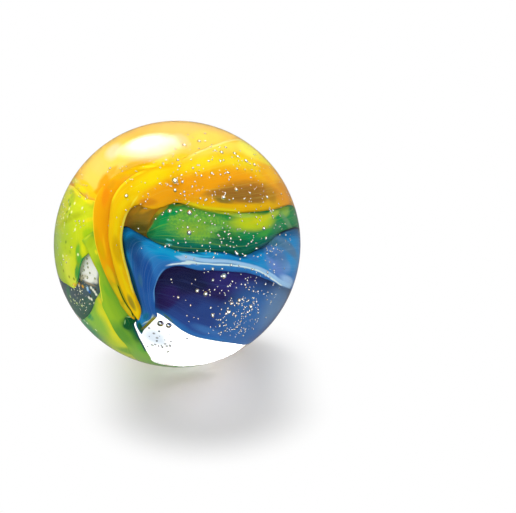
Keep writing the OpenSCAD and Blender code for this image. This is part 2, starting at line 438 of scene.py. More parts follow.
@dataclass(frozen=True)
class Line:
    """A line of another colour along a sheet, beside one of its edges. Most are streaks drawn out in the
    glass; some are painted light: a painted highlight on a ridge, and painted lightening over the shade
    along an edge.

    Attributes:
        side: The edge that it keeps to, "right" or "left".
        path: Shares along the sheet, and the millimetres from the edge to the line's middle there.
        wide: Half its width, in millimetres.
        colour: Its colour.
        strength: How fully it covers, from 0 to 1.
        core: Share of its half width that is fully covered.
        fade: Share of the sheet over which each of its ends fades out.
    """

    side: str
    path: tuple[tuple[float, float], ...]
    wide: float
    colour: str
    strength: float = 1.0
    core: float = 0.3
    fade: float = 0.02

    def over(self, tree: Tree, flow: Socket, margin: Socket, colour: Socket) -> Socket:
        """Lays the line over a colour, wherever the distance from the edge is near the path's.

        Args:
            tree: The node tree.
            flow: Shares along and across the sheet.
            margin: Millimetres from the right edge and from the left one.
            colour: The colour beneath.

        Returns:
            The new colour.
        """
        along = add(tree, "ShaderNodeSeparateXYZ", {0: flow}).outputs["X"]
        off = add(tree, "ShaderNodeSeparateXYZ", {0: margin}).outputs["XY"[self.side == "left"]]
        middle = add(tree, "ShaderNodeFloatCurve", {"Value": along})
        bend = middle.mapping.curves[0]
        while len(bend.points) < len(self.path):
            bend.points.new(0.5, 0.5)
        for point, (share, far) in zip(bend.points, self.path):
            point.location = (share, far / FAR)
        middle.mapping.update()
        aside = worked(tree, "MULTIPLY_ADD", middle.outputs[0], -FAR, off)
        aside = worked(tree, "ABSOLUTE", aside)
        cover = eased(tree, aside, self.wide, self.wide * self.core, most=self.strength)
        first, last = self.path[0][0], self.path[-1][0]
        for end, inner in ((first, first + self.fade), (last, last - self.fade)):
            cover = worked(tree, "MULTIPLY", cover, eased(tree, along, end, inner))
        return laid_over(tree, cover, colour, self.colour)


@dataclass(frozen=True)
class SwirledGlass:
    """Opal soda-lime glass, drawn out hot. Colour lies in soft bands along the sheet, with fine streaks.

    Attributes:
        name: The finish's name.
        bands: Share across the sheet, from its right edge to its left, and the colour there.
        patches: Fields of other colours. Some are painted light: halos round the highlight, glints, and
            lightening over shade under edges.
        lines: Lines of other colours beside its edges. Some are painted light: highlights on a ridge, and
            lightening over the shade along edges.
        streak: Colour of the fine streaks.
        streaks: How strongly the streaks show.
        wander: How far the bands wander across, as a share of the sheet's width.
        glow: Share of the light that passes through the sheet.
    """

    name: str
    bands: tuple[tuple[float, str], ...]
    patches: tuple[Patch | Dots, ...] = ()
    lines: tuple[Line, ...] = ()
    streak: str = "#FFFFFF"
    streaks: float = 0.15
    wander: float = 0.04
    glow: float = 0.1

    def material(self, build: Build) -> bpy.types.Material:
        """Builds the material.

        Args:
            build: The ball's layers, which place the patches.

        Returns:
            The material.
        """
        material, tree = blank(self.name)
        flow = add(tree, "ShaderNodeUVMap", uv_map="flow").outputs[0]
        colour = self.banded(tree, flow)
        place = add(tree, "ShaderNodeTexCoord").outputs["Object"]
        for patch in self.patches:
            colour = patch.over(tree, place, colour, build)
        colour = self.streaked(tree, flow, colour)
        margin = add(tree, "ShaderNodeUVMap", uv_map="margin").outputs[0]
        for line in self.lines:
            colour = line.over(tree, flow, margin, colour)
        body = add(
            tree, "ShaderNodeBsdfPrincipled",
            {"Base Color": colour, "Roughness": 0.6, "Specular IOR Level": 0.0},
        )
        through = add(tree, "ShaderNodeBsdfTranslucent", {"Color": colour})
        mixed = add(
            tree, "ShaderNodeMixShader", {0: self.glow, 1: body.outputs[0], 2: through.outputs[0]}
        )
        add(tree, "ShaderNodeOutputMaterial", {"Surface": mixed.outputs[0]})
        return material

    def banded(self, tree: Tree, flow: Socket) -> Socket:
        """Lays the bands across the sheet, a little adrift.

        Args:
            tree: The node tree.
            flow: Shares along and across the sheet.

        Returns:
            The bands' colour.
        """
        wide = add(tree, "ShaderNodeMapping", {"Vector": flow, "Scale": BAND_WAVES}).outputs[0]
        drift = add(tree, "ShaderNodeTexNoise", {"Vector": wide, "Scale": 1.0, "Detail": 3.0})
        split = add(tree, "ShaderNodeSeparateXYZ", {0: flow})
        # The noise is about 0.5 on the whole and seldom leaves 0.25 to 0.75
        moved = worked(tree, "MULTIPLY_ADD", drift.outputs["Fac"], self.wander * 4, -self.wander * 2)
        across = worked(tree, "ADD", split.outputs["Y"], moved)
        ramp = add(tree, "ShaderNodeValToRGB", {0: across})
        ramp.color_ramp.interpolation = "EASE"
        stops = ramp.color_ramp.elements
        while len(stops) < len(self.bands):
            stops.new(0.5)
        for stop, (share, colour) in zip(stops, self.bands):
            stop.position = share
            stop.color = under_glass(colour)
        return ramp.outputs[0]

    def streaked(self, tree: Tree, flow: Socket, colour: Socket) -> Socket:
        """Draws fine lines of the streak colour along the sheet.

        Args:
            tree: The node tree.
            flow: Shares along and across the sheet.
            colour: The colour beneath.

        Returns:
            The new colour.
        """
        fine = add(tree, "ShaderNodeMapping", {"Vector": flow, "Scale": STREAK_WAVES}).outputs[0]
        lines = add(
            tree, "ShaderNodeTexNoise", {"Vector": fine, "Scale": 1.0, "Detail": 4.0, "Distortion": 0.6}
        )
        share = eased(tree, lines.outputs["Fac"], *STREAK_RANGE, most=self.streaks)
        return laid_over(tree, share, colour, self.streak)


@dataclass(frozen=True)
class ClearGlass:
    """Clear soda-lime glass, fire-polished: sharp gloss outside, and what lies inside looks magnified.

    Attributes:
        name: The finish's name.
        ior: Index of refraction of soda-lime glass.
        colour: Its faint tint.
        gloss: Share of the skin's reflections that shows.
        patches: A grey-blue painted reflection and specks of dust on its skin.
    """

    name: str = "clear_soda_lime_glass"
    ior: float = 1.5
    colour: str = "#FDFFFE"
    gloss: float = 0.25
    patches: tuple[Patch | Dots, ...] = ()

    def material(self, build: Build) -> bpy.types.Material:
        """Builds the material.

        Args:
            build: The ball's layers, which place the patches.

        Returns:
            The material.
        """
        material, tree = blank(self.name)
        colour = add(tree, "ShaderNodeRGB").outputs[0]
        colour.default_value = linear(self.colour)
        place = add(tree, "ShaderNodeTexCoord").outputs["Object"]
        for patch in self.patches:
            colour = patch.over(tree, place, colour, build)
        glass = add(
            tree, "ShaderNodeBsdfPrincipled",
            {
                "Base Color": colour, "Roughness": 0.0, "IOR": self.ior,
                "Transmission Weight": 1.0, "Specular Tint": (*(self.gloss,) * 3, 1.0),
            },
        )
        add(tree, "ShaderNodeOutputMaterial", {"Surface": glass.outputs[0]})
        return material


@dataclass(frozen=True)
class SeedSkin:
    """The skin of an air bubble in glass, which mirrors like silver from within."""

    name: str = "air_bubble_skin"

    def material(self) -> bpy.types.Material:
        """Builds the material.

        Returns:
            The material.
        """
        material, tree = blank(self.name)
        skin = add(
            tree, "ShaderNodeBsdfPrincipled",
            {"Base Color": (1.0, 1.0, 0.98, 1.0), "Metallic": 1.0, "Roughness": 0.08},
        )
        add(tree, "ShaderNodeOutputMaterial", {"Surface": skin.outputs[0]})
        return material


@dataclass
class Sheet:
    """A sheet of coloured glass between two edges.

    Attributes:
        node: The solid that it stands for.
        slot: The record's finish slot. Not used by this script.
        right: Longitude, latitude and layer along its right edge.
        left: The same along its left edge.
        finish: Its glass.
        along: Stations along it.
        across: Spans across it.
    """

    node: str
    slot: str
    right: list
    left: list
    finish: SwirledGlass
    along: int = 160
    across: int = 28

    def build(self, build: Build) -> bpy.types.Object:
        """Builds the closed sheet: great circles between the two edge curves, with a rounded section.

        Args:
            build: The ball's layers.

        Returns:
            The piece.
        """
        u = np.linspace(0, 1, self.along)
        right, left = (self.edge(rows, u) for rows in (self.right, self.left))
        s = np.linspace(0, 1, self.across + 1)
        v = (1 - EVEN) * (0.5 - 0.5 * np.cos(np.pi * s)) + EVEN * s
        a, b = (e[:, :3] / np.linalg.norm(e[:, :3], axis=1, keepdims=True) for e in (right, left))
        angle = np.maximum(np.arccos(np.clip((a * b).sum(1), -1, 1)), 1e-4)[:, None, None]
        w = v[None, :, None]
        out = (np.sin((1 - w) * angle) * a[:, None] + np.sin(w * angle) * b[:, None]) / np.sin(angle)
        layer = right[:, 3:] * (1 - v) + left[:, 3:] * v
        full = self.fullness(v, EDGE_POWER, EDGE_TAPER)
        end = END_SHARE + (1 - END_SHARE) * self.fullness(u, END_POWER, END_TAPER)
        half = build.sheet / 2 * end[:, None] * full
        top = out * (build.layer(layer) + half)[..., None]
        under = out * (build.layer(layer) - half)[..., None]
        ring = np.concatenate([top, under[:, -2:0:-1]], axis=1)
        around = ring.shape[1]
        i, j = np.arange(self.along - 1)[:, None] * around, np.arange(around)[None]
        k = (j + 1) % around
        quads = np.stack([i + j, i + around + j, i + around + k, i + k], -1).reshape(-1, 4)
        last = (self.along - 1) * around
        ends = np.stack([np.arange(around), np.arange(last + around - 1, last - 1, -1)])
        flow = np.stack(
            [np.repeat(u, around), np.tile(np.concatenate([v, v[-2:0:-1]]), self.along)], -1
        )
        margin = np.stack([self.away(out, e) * build.layer(layer) for e in (a, b)], -1)
        margin = np.concatenate([margin, margin[:, -2:0:-1]], axis=1).reshape(-1, 2)
        piece = mesh_object(
            self.node + "_glass", ring.reshape(-1, 3) * MM, [quads, ends], {"flow": flow, "margin": margin}
        )
        piece.data.materials.append(self.finish.material(build))
        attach(piece, ROOT)
        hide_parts(self.node)
        return piece

    @staticmethod
    def fullness(share: np.ndarray, power: float, taper: float) -> np.ndarray:
        """How thick it is, as a share of its middle, at shares from one side to the other."""
        return np.clip(1 - np.abs(2 * share - 1) ** power, 0, 1) ** taper

    @staticmethod
    def away(out: np.ndarray, edge: np.ndarray) -> np.ndarray:
        """Angle in radians from each direction to the nearest point of an edge."""
        return np.arccos(np.clip((out @ edge.T).max(-1), -1, 1))

    @staticmethod
    def edge(rows: list, u: np.ndarray) -> np.ndarray:
        """An edge's directions and layers along the sheet."""
        rows = np.array(rows, float)
        return curve(np.c_[toward(rows[:, 0], rows[:, 1]), rows[:, 2]], u)


@dataclass(frozen=True)
class Cloud:
    """A drift of seed bubbles.

    Attributes:
        lon: Longitude of its middle.
        lat: Latitude of its middle.
        spread: How far it spreads, in degrees.
        count: How many bubbles it has.
        deep: Depth of the deepest under the ball's skin, in millimetres.
        size: Diameter of the largest, in millimetres.
        small: Diameter of the smallest, in millimetres.
    """

    lon: float
    lat: float
    spread: float
    count: int
    deep: float = 0.6
    size: float = 0.5
    small: float = 0.2


@dataclass
class Seeds:
    """A set of seed bubbles, as small spheres.

    Attributes:
        radius: The ball's radius in millimetres.
        singles: Longitude, latitude, depth and diameter of each large bubble.
        clouds: Drifts of small ones.
        draw: Where chance comes from.
    """

    radius: float
    singles: tuple[tuple[float, float, float, float], ...]
    clouds: tuple[Cloud, ...]
    draw: np.random.Generator

    def mesh(self) -> tuple[np.ndarray, list[np.ndarray]]:
        """Builds the bubbles, a few of them drawn out a little.

        Returns:
            Their points in millimetres, and their faces, outwards.
        """
        singles = np.array(self.singles, float).reshape(-1, 4)
        rows = np.vstack([singles] + [self.drift(cloud) for cloud in self.clouds])
        lon, lat, deep, size = rows.T
        out = toward(lon, lat)
        centres = out * (self.radius - np.maximum(deep, size / 2 + LEAST_COVER))[:, None]
        along = np.cross(out, self.draw.normal(0, 1, out.shape))
        along /= np.linalg.norm(along, axis=1, keepdims=True)
        chance = self.draw.uniform(0, 1, len(out))
        longer = np.where(chance < DRAWN_OUT, self.draw.uniform(*DRAWN_LONGER, len(out)), 0.0)
        longer *= size < STAYED_ROUND
        turns = np.eye(3) + longer[:, None, None] * along[:, :, None] * along[:, None]
        globe_points, faces = globe(*BUBBLE_FACES)
        points = np.einsum("nij,kj->nki", turns * size[:, None, None] / 2, globe_points)
        points = points + centres[:, None]
        first = np.arange(len(rows))[:, None, None] * len(globe_points)
        return points.reshape(-1, 3), [(first + f[None]).reshape(-1, f.shape[1]) for f in faces]

    def drift(self, cloud: Cloud) -> np.ndarray:
        """Scatters a drift: thicker in its middle, with many small bubbles and few large ones.

        Args:
            cloud: The drift.

        Returns:
            Longitude, latitude, depth and diameter of each bubble, one a row.
        """
        away = cloud.spread * self.draw.uniform(0, 1, cloud.count) ** CROWDING
        turn = self.draw.uniform(0, 2 * np.pi, cloud.count)
        lat = cloud.lat + away * np.sin(turn)
        lon = cloud.lon + away * np.cos(turn) / np.cos(np.radians(cloud.lat))
        deep = self.draw.uniform(LEAST_DEPTH, cloud.deep, cloud.count)
        large = self.draw.uniform(0, 1, cloud.count) ** MOSTLY_SMALL
        size = cloud.small + (cloud.size - cloud.small) * large
        return np.stack([lon, lat, deep, size], -1)


@dataclass
class ClearBall:
    """The clear ball round everything, with the seed bubbles trapped in it.

    Attributes:
        layers: The ball's radius and layers.
        spans: Spans of its skin from pole to pole, with twice as many around it.
        chance: Where chance starts from.
    """

    layers: Build
    spans: int = 160
    chance: int = 11

    def build(self) -> list[bpy.types.Object]:
        """Builds the skin with hollows in the clear window, and the bubbles in front of the colour.

        Returns:
            The ball and the bubbles.
        """
        radius = self.layers.radius
        draw = np.random.default_rng(self.chance)
        skin, faces = globe(self.spans, 2 * self.spans)
        points, hollows = Seeds(radius, WINDOW_SEEDS, WINDOW_CLOUDS, draw).mesh()
        faces += [f[:, ::-1] + len(skin) for f in hollows]
        ball = mesh_object("clear_ball", np.vstack([skin * radius, points]) * MM, faces)
        ball.data.materials.append(ClearGlass(patches=SKIN_REFLECTION_AND_SPECKS).material(self.layers))
        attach(ball, ROOT)
        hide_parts("clear_glass")
        points, faces = Seeds(radius, LARGE_SEEDS, SEED_CLOUDS, draw).mesh()
        seeds = mesh_object("seed_bubbles", points * MM, faces)
        seeds.data.materials.append(SeedSkin().material())
        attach(seeds, ROOT)
        return [ball, seeds]


@dataclass
class Studio:
    """A plain white table, soft daylight all round and one oval softbox behind and above.

    Attributes:
        ball: The ball's radius in millimetres.
        lens: Focal length in millimetres.
        distance: From the camera to the ball's centre, in millimetres.
        height: The camera's angle above the horizon, in degrees.
        aim: Where the camera looks, in millimetres.
        lamp: Direction of the softbox from the ball.
        lamp_far: Its distance from the ball, in metres.
        lamp_wide: Half its width and half its height, in metres.
        lamp_colour: Its colour.
        lamp_strength: How bright its middle is.
        lamp_rim: Share of its radius over which it fades out.
        key_lamp: Direction of the lamp that casts the shadow.
        key_far: Its distance from the ball, in metres.
        key_wide: Its diameter in metres.
        key_power: Its power in watts.
        table_far: From the table's middle to its edge, in metres.
        paper: How light the table's paper is.
        spine: Sideways place of the line along which the shadow lies, in millimetres.
        spine_run: From the front end to the back end of that line, in millimetres.
        spine_away: How far from it the table starts to turn plain white, and is plain, in millimetres.
        spine_white: How far the table is plain white on that line, from 0 to 1.
        levels: Brightness of the surroundings to each kind of ray.
    """

    ball: float
    lens: float = 135.0
    distance: float = 275.4
    height: float = 22.0
    aim: tuple[float, float, float] = (11.43, -0.73, -1.82)
    lamp: tuple[float, float, float] = (-0.232, 0.612, 0.756)
    lamp_far: float = 0.6
    lamp_wide: tuple[float, float] = (0.2, 0.32)
    lamp_colour: tuple[float, float, float] = (1.0, 0.92, 1.0)
    lamp_strength: float = 18.0
    lamp_rim: float = 0.75
    key_lamp: tuple[float, float, float] = (-0.2, 0.6, 0.77)
    key_far: float = 0.6
    key_wide: float = 0.15
    key_power: float = 3.2
    table_far: float = 1.5
    paper: float = 0.66
    spine: float = 3.5
    spine_run: tuple[float, float] = (-17.0, -2.0)
    spine_away: tuple[float, float] = (6.0, 18.0)
    spine_white: float = 0.25
    levels: dict[str, float] = field(
        default_factory=lambda: {
            "Is Camera Ray": 1.0, "Is Transmission Ray": 1.5, "Is Diffuse Ray": 0.83, "Is Glossy Ray": 0.2
        }
    )

    def build(self) -> None:
        """Builds the camera, the table and the lights."""
        scene = bpy.context.scene
        scene.view_settings.view_transform = "Standard"
        self.camera(scene)
        self.table()
        self.world(scene)
        self.softbox()
        self.key()

    def camera(self, scene: bpy.types.Scene) -> None:
        """Places the camera.

        Args:
            scene: The scene.
        """
        data = bpy.data.cameras.new("camera")
        data.lens = self.lens
        camera = bpy.data.objects.new("camera", data)
        scene.collection.objects.link(camera)
        rise = math.radians(self.height)
        camera.location = Vector((0, -math.cos(rise), math.sin(rise))) * self.distance * MM
        looking = Vector(self.aim) * MM - camera.location
        camera.rotation_euler = looking.to_track_quat("-Z", "Y").to_euler()
        scene.camera = camera

    def table(self) -> None:
        """Lays the white table under the ball. Away from the ball it is plain white wherever it is seen."""
        far, low = self.table_far, -self.ball * MM
        points = np.array([[-far, -far, low], [far, -far, low], [far, far, low], [-far, far, low]])
        table = mesh_object("table", points, [np.array([[0, 1, 2, 3]])])
        material, tree = blank("white_paper")
        paper = add(tree, "ShaderNodeBsdfDiffuse", {"Color": (*(self.paper,) * 3, 1)})
        path = add(tree, "ShaderNodeLightPath")
        white = add(
            tree, "ShaderNodeEmission", {"Color": (1, 1, 1, 1), "Strength": self.level(tree, path)}
        )
        place = add(tree, "ShaderNodeTexCoord").outputs["Object"]
        split = add(tree, "ShaderNodeSeparateXYZ", {0: place})
        front, back = (end * MM for end in self.spine_run)
        near = add(tree, "ShaderNodeClamp", {"Value": split.outputs["Y"], "Min": front, "Max": back})
        spine = add(
            tree, "ShaderNodeCombineXYZ", {"X": self.spine * MM, "Y": near.outputs[0], "Z": low}
        )
        out = add(tree, "ShaderNodeVectorMath", {0: place, 1: spine.outputs[0]}, operation="DISTANCE")
        away = eased(
            tree, out.outputs["Value"], *(end * MM for end in self.spine_away), least=self.spine_white
        )
        plain = worked(tree, "MAXIMUM", away, path.outputs["Is Glossy Ray"])
        mixed = add(tree, "ShaderNodeMixShader", {0: plain, 1: paper.outputs[0], 2: white.outputs[0]})
        add(tree, "ShaderNodeOutputMaterial", {"Surface": mixed.outputs[0]})
        table.data.materials.append(material)

    def level(self, tree: Tree, path: bpy.types.Node) -> Socket:
        """How bright the surroundings are to a ray.

        Args:
            tree: The node tree.
            path: The node that tells the kinds of ray apart.

        Returns:
            The brightness.
        """
        total = None
        for ray, strength in self.levels.items():
            part = worked(tree, "MULTIPLY", path.outputs[ray], strength)
            total = part if total is None else worked(tree, "ADD", part, total)
        return total

    def world(self, scene: bpy.types.Scene) -> None:
        """Lights the scene evenly, and shows white behind it.

        Args:
            scene: The scene.
        """
        world = bpy.data.worlds.new("daylight")
        scene.world = world
        world.use_nodes = True
        tree = world.node_tree
        tree.nodes.clear()
        path = add(tree, "ShaderNodeLightPath")
        light = add(
            tree, "ShaderNodeBackground", {"Color": (1, 1, 1, 1), "Strength": self.level(tree, path)}
        )
        add(tree, "ShaderNodeOutputWorld", {"Surface": light.outputs[0]})

    def softbox(self) -> None:
        """Hangs the softbox: a disc with a bright middle that fades out toward its rim."""
        rings, around = 24, 96
        out = Vector(self.lamp).normalized()
        level = Vector((0, 0, 1)).cross(out).normalized()
        up = out.cross(level)
        share = np.linspace(0, 1, rings + 1)[1:]
        turn = np.arange(around) * 2 * np.pi / around
        flat = np.stack([np.outer(share, np.cos(turn)), np.outer(share, np.sin(turn))], -1)
        flat = np.vstack([flat.reshape(-1, 2), [0, 0]])
        points = (flat * np.array(self.lamp_wide)) @ np.array([level, up])
        points = points + np.array(out) * self.lamp_far
        i, j = np.arange(rings - 1)[:, None] * around, np.arange(around)[None]
        k = (j + 1) % around
        quads = np.stack([i + j, i + k, i + around + k, i + around + j], -1).reshape(-1, 4)
        middle = np.stack([np.full(around, len(flat) - 1), k[0], j[0]], -1)
        lamp = mesh_object("softbox", points, [quads, middle], {"flow": flat})
        material, tree = blank("softbox_cloth")
        flow = add(tree, "ShaderNodeUVMap", uv_map="flow").outputs[0]
        fade = add(tree, "ShaderNodeTexGradient", {0: flow}, gradient_type="SPHERICAL")
        bright = eased(tree, fade.outputs["Fac"], 0.0, self.lamp_rim)
        clear = add(tree, "ShaderNodeBsdfTransparent")
        shine = add(
            tree, "ShaderNodeEmission", {"Color": (*self.lamp_colour, 1), "Strength": self.lamp_strength}
        )
        mixed = add(tree, "ShaderNodeMixShader", {0: bright, 1: clear.outputs[0], 2: shine.outputs[0]})
        add(tree, "ShaderNodeOutputMaterial", {"Surface": mixed.outputs[0]})
        lamp.data.materials.append(material)
        lamp.visible_diffuse = False

    def key(self) -> None:
        """Hangs the lamp that casts the shadow, behind the ball and high up."""
        data = bpy.data.lights.new("key", "AREA")
        data.shape = "DISK"
        data.size = self.key_wide
        data.energy = self.key_power
        lamp = bpy.data.objects.new("key", data)
        bpy.context.scene.collection.objects.link(lamp)
        lamp.location = Vector(self.key_lamp).normalized() * self.key_far
        lamp.rotation_euler = (-lamp.location).to_track_quat("-Z", "Y").to_euler()
        lamp.visible_glossy = lamp.visible_transmission = False


# Where the numbers below come from: most rows of the sheets' edges at the front, the places of the largest
# bubbles, and most places, widths, heights, turns and paths of the patches, dots and lines were worked out
# by another program from points picked by eye, and written in here. Nothing here gives them again.


# ---------------------------------------------------------------- seed bubbles and casts

# The largest bubbles: longitude, latitude, depth and diameter
LARGE_SEEDS = (
    (-1, 52, 0.8, 1.1), (-1, 47, 0.6, 0.6), (53, 63, 0.6, 0.7), (65, 64, 0.5, 0.5), (65, 59, 0.5, 0.6),
    (43, 74, 0.6, 0.65), (77, 76, 0.5, 0.5), (68, 53, 0.6, 0.7), (72, 49, 0.5, 0.6), (-32, 42, 0.6, 0.7),
    (7, 36, 0.7, 0.8), (6, 27, 0.6, 0.75), (-4, 37, 0.6, 0.6), (40, 43, 0.6, 0.7), (29, 41, 0.6, 0.7),
    (22, 5, 1.5, 0.8), (37, -14, 1.2, 0.7), (9, -1, 1.8, 0.6), (13, -3, 1.8, 0.7), (30, -9, 1.4, 0.6),
    (48, 22, 0.8, 0.6), (60, 34, 0.6, 0.6), (-58, 52, 0.5, 0.5), (-12, 61, 0.4, 0.4),
)
SEED_CLOUDS = (
    Cloud(40, 60, 24, 50, 0.6, 0.5),
    Cloud(60, 36, 28, 60, 0.7, 0.42, 0.16),
    Cloud(25, 42, 20, 30, 0.7, 0.4, 0.16),
    Cloud(16, 30, 20, 80, 0.9, 0.38, 0.16),
    Cloud(46, 15, 22, 90, 0.9, 0.38, 0.16),
    Cloud(19, -2, 24, 90, 2.0, 0.48, 0.18),
    Cloud(36, -14, 20, 80, 1.6, 0.42, 0.16),
    Cloud(32, -21, 12, 80, 1.6, 0.4, 0.16),
    Cloud(-15, 38, 24, 50, 0.5, 0.32, 0.15),
    Cloud(-30, 60, 20, 50, 0.5, 0.32, 0.15),
    Cloud(-78, 20, 24, 110, 0.6, 0.32, 0.15),
    Cloud(-54, -14, 8, 40, 0.9, 0.36, 0.15),
    Cloud(180, 5, 60, 250, 0.7, 0.4),
    Cloud(115, 5, 36, 150, 0.6, 0.4),
)
# Those in the clear window below the arch and in the gap at the left
WINDOW_SEEDS = (
    (-9, -18, 1.2, 0.95), (-5, -19, 1.2, 0.85), (-7, -34, 1.3, 0.35), (-5, -34, 1.3, 0.3),
    (-12, -30, 1.2, 0.3), (-7, -39, 1.2, 0.3), (-15, -34, 1.2, 0.3), (-10, -23, 1.2, 0.3),
    (4, -28, 1.2, 0.35),
)
WINDOW_CLOUDS = (
    Cloud(-8, -33, 10, 16, 1.4, 0.26, 0.15),
    Cloud(-49, 0, 6, 16, 1.2, 0.26, 0.15),
)
# The grey-blue painted reflection over the clear window, and the specks, on the ball's skin. Layer -0.88
# lies 0.3 mm under the skin, and the painted reflection is deep enough to take it in
SKIN_REFLECTION_AND_SPECKS = (
    # Painted reflection: a grey-blue shade on the skin over the clear window
    Patch(-12, -25, -0.88, 4.3, 3.5, -61, "#788694", 1, core=0.15, rough=0.2),
    Dots(
        ((-14.2, -19.1), (-12.2, -22.3), (-10.9, -25.2), (-12.6, -30.2), (-17.1, -32.7), (-7.2, -29.3),
         (-4.9, -30.2), (-6, -35.4), (-9, -31.7)),
        -0.88, 0.28, "#1C1814", 0.95
    ),
)


# ---------------------------------------------------------------- the coloured sheets


def yellow_ribbon() -> Sheet:
    """The bright ribbon: from behind over the right shoulder, then down the front left to a point.

    Returns:
        The sheet.
    """
    right = [
        [150, -52, 0], [141, -30, 0], [137, -5, 0], [133, 20, 0.5], [125, 44, 0.9], [108, 59, 1],
        [85, 67, 1], [62, 70, 1], [28, 70, 1], [6, 66.5, 0.9], [-12, 62.5, 0.6], [-21, 60, 0.4],
        [-31, 56, 0.2], [-38, 50.5, 0], [-41.5, 44, 0], [-41.5, 37.7, 0], [-39.3, 31.5, 0],
        [-36.4, 21.7, 0], [-33.4, 14.4, 0], [-30.4, 7, 0], [-27.6, 0, 0], [-23.7, -9.3, 0],
        [-22.3, -12.7, 0], [-20.8, -15.4, 0], [-20, -16.8, 0],
    ]
    left = [
        [145, -54, 0], [126, -38, 0], [114, -14, 0], [104, 6, 0], [87.4, 20, 0.7], [63.5, 27, 1],
        [43.6, 31.5, 1], [32.7, 34, 1], [17.6, 37.5, 1], [7.7, 40.4, 1], [0.3, 42, 1], [-4.9, 41, 1],
        [-9, 39.4, 0.85], [-14, 38, 0.5], [-19.4, 38.4, 0.15], [-24, 38.9, 0], [-27, 36.9, 0],
        [-28.6, 33.3, 0], [-28.9, 27.7, 0], [-28.2, 21.6, 0], [-25.5, 13.4, 0], [-23, 6.7, 0],
        [-20.9, -0.5, 0], [-18.3, -7.8, 0], [-17.8, -10.7, 0], [-18.2, -13.6, 0], [-19.3, -16.4, 0],
    ]
    finish = SwirledGlass(
        "yellow_opal_glass",
        ((0, "#E9B406"), (0.2, "#F4C404"), (0.6, "#F8D004"), (0.9, "#F0BC04"), (1, "#E0A806")),
        patches=(
            Patch(70, 66, 1, 11, 2, -30, "#F8D648"),
            Patch(50, 58, 1, 9, 2.2, -22, "#FBDA20"),
            Patch(-3, 47, 0.9, 6, 2.4, 14, "#F2A214", core=0.4),
            Patch(18, 49, 1, 7, 3, -6, "#F4A012", core=0.4),
            Patch(46, 46, 1, 7.5, 3.8, -20, "#F2A010", core=0.4),
            Patch(86, 31, 1, 6, 5, -50, "#EE9C16", core=0.4),
            Patch(54, 40, 1, 8, 2.2, -20, "#A46E26", core=0.25, rough=0.2),
            Patch(32, 44, 1, 3.8, 0.9, -8, "#A4702A", 0.9),
            Patch(-20, 53, 0, 4, 1.4, 44, "#F8D808"),
            Patch(-18, 41, 0.6, 1.7, 0.84, 10, "#DE8C18", core=0.4),
            Patch(-22, 39, 0.4, 0.79, 0.37, 34, "#B87418", 0.9),
            Patch(-26.2, 40.6, 0.2, 1.12, 0.19, 72, "#FFDC38", core=0.4),
            Patch(-31, 6, 0, 1.7, 0.54, -66, "#C8A012", 0.9),
            Patch(-24.7, 5.6, 0, 1.7, 0.3, -67, "#F0B80C", 0.9),
            Patch(-22, -7, 0, 1.7, 0.51, -69, "#A48C20", core=0.4),
            Patch(-19.3, -7.7, 0, 1.3, 0.27, -77, "#D8AC10", 0.9),
            Patch(99, 51, 1, 2.5, 3.5, -91, "#FCDE50", 0.9),
            Patch(87, 37, 0.9, 2.7, 3.7, -135, "#F2B004", 0.9),
            Patch(48, 38, 1, 3.6, 0.93, -24, "#96702A", core=0.4, rough=0.25),
            Patch(29, 41, 1, 1.5, 0.58, -20, "#94782A", 0.8, rough=0.3),
            Patch(68, 33, 1, 1.43, 1.5, -58, "#B4801C", 0.9),
            Patch(-30, 17, 0, 2.6, 0.84, -70, "#D8A804", 0.9, core=0.4),
            Patch(-26.7, 12, 0, 1.8, 0.3, -67, "#E4B006", 0.7),
            Patch(46, 40, 1, 5.4, 1.5, -19, "#9A6A28", 0.95, core=0.35, rough=0.1),
            Patch(31, 40, 1, 1.7, 0.51, -19, "#8C742C", 0.9, rough=0.2),
            Patch(97, 53, 1, 2.3, 3.5, -109, "#FFF050", 0.9, core=0.4),
            Patch(97, 44, 0.9, 1.4, 3, -133, "#FFE428", 0.9, core=0.4),
            Patch(87, 38, 0.9, 1.7, 2.6, -128, "#F6B808", 0.9, core=0.4),
            Patch(88, 30, 0.9, 1.36, 2.9, -126, "#E09408", 0.9, core=0.4),
        ),
        lines=(
            Line("left", ((0.774, 0.12), (0.947, 0.12)), 0.2, "#FFE44A"),
            Line("right", ((0.682, 0.25), (0.782, 0.25)), 0.35, "#FFE21C", 0.8),
            Line("left", ((0.539, 0.1), (0.674, 0.1)), 0.55, "#E6D618", 0.9, fade=0.03),
            # Painted light: a pale line along the upper edge, which softens the shade line there
            Line("right", ((0.393, 0.15), (0.607, 0.15)), 0.4, "#FFE88A", 0.7, fade=0.03),
        ),
        streak="#FFF060",
    )
    return Sheet("yellow_ribbon", "yellow_glass", right, left, finish)


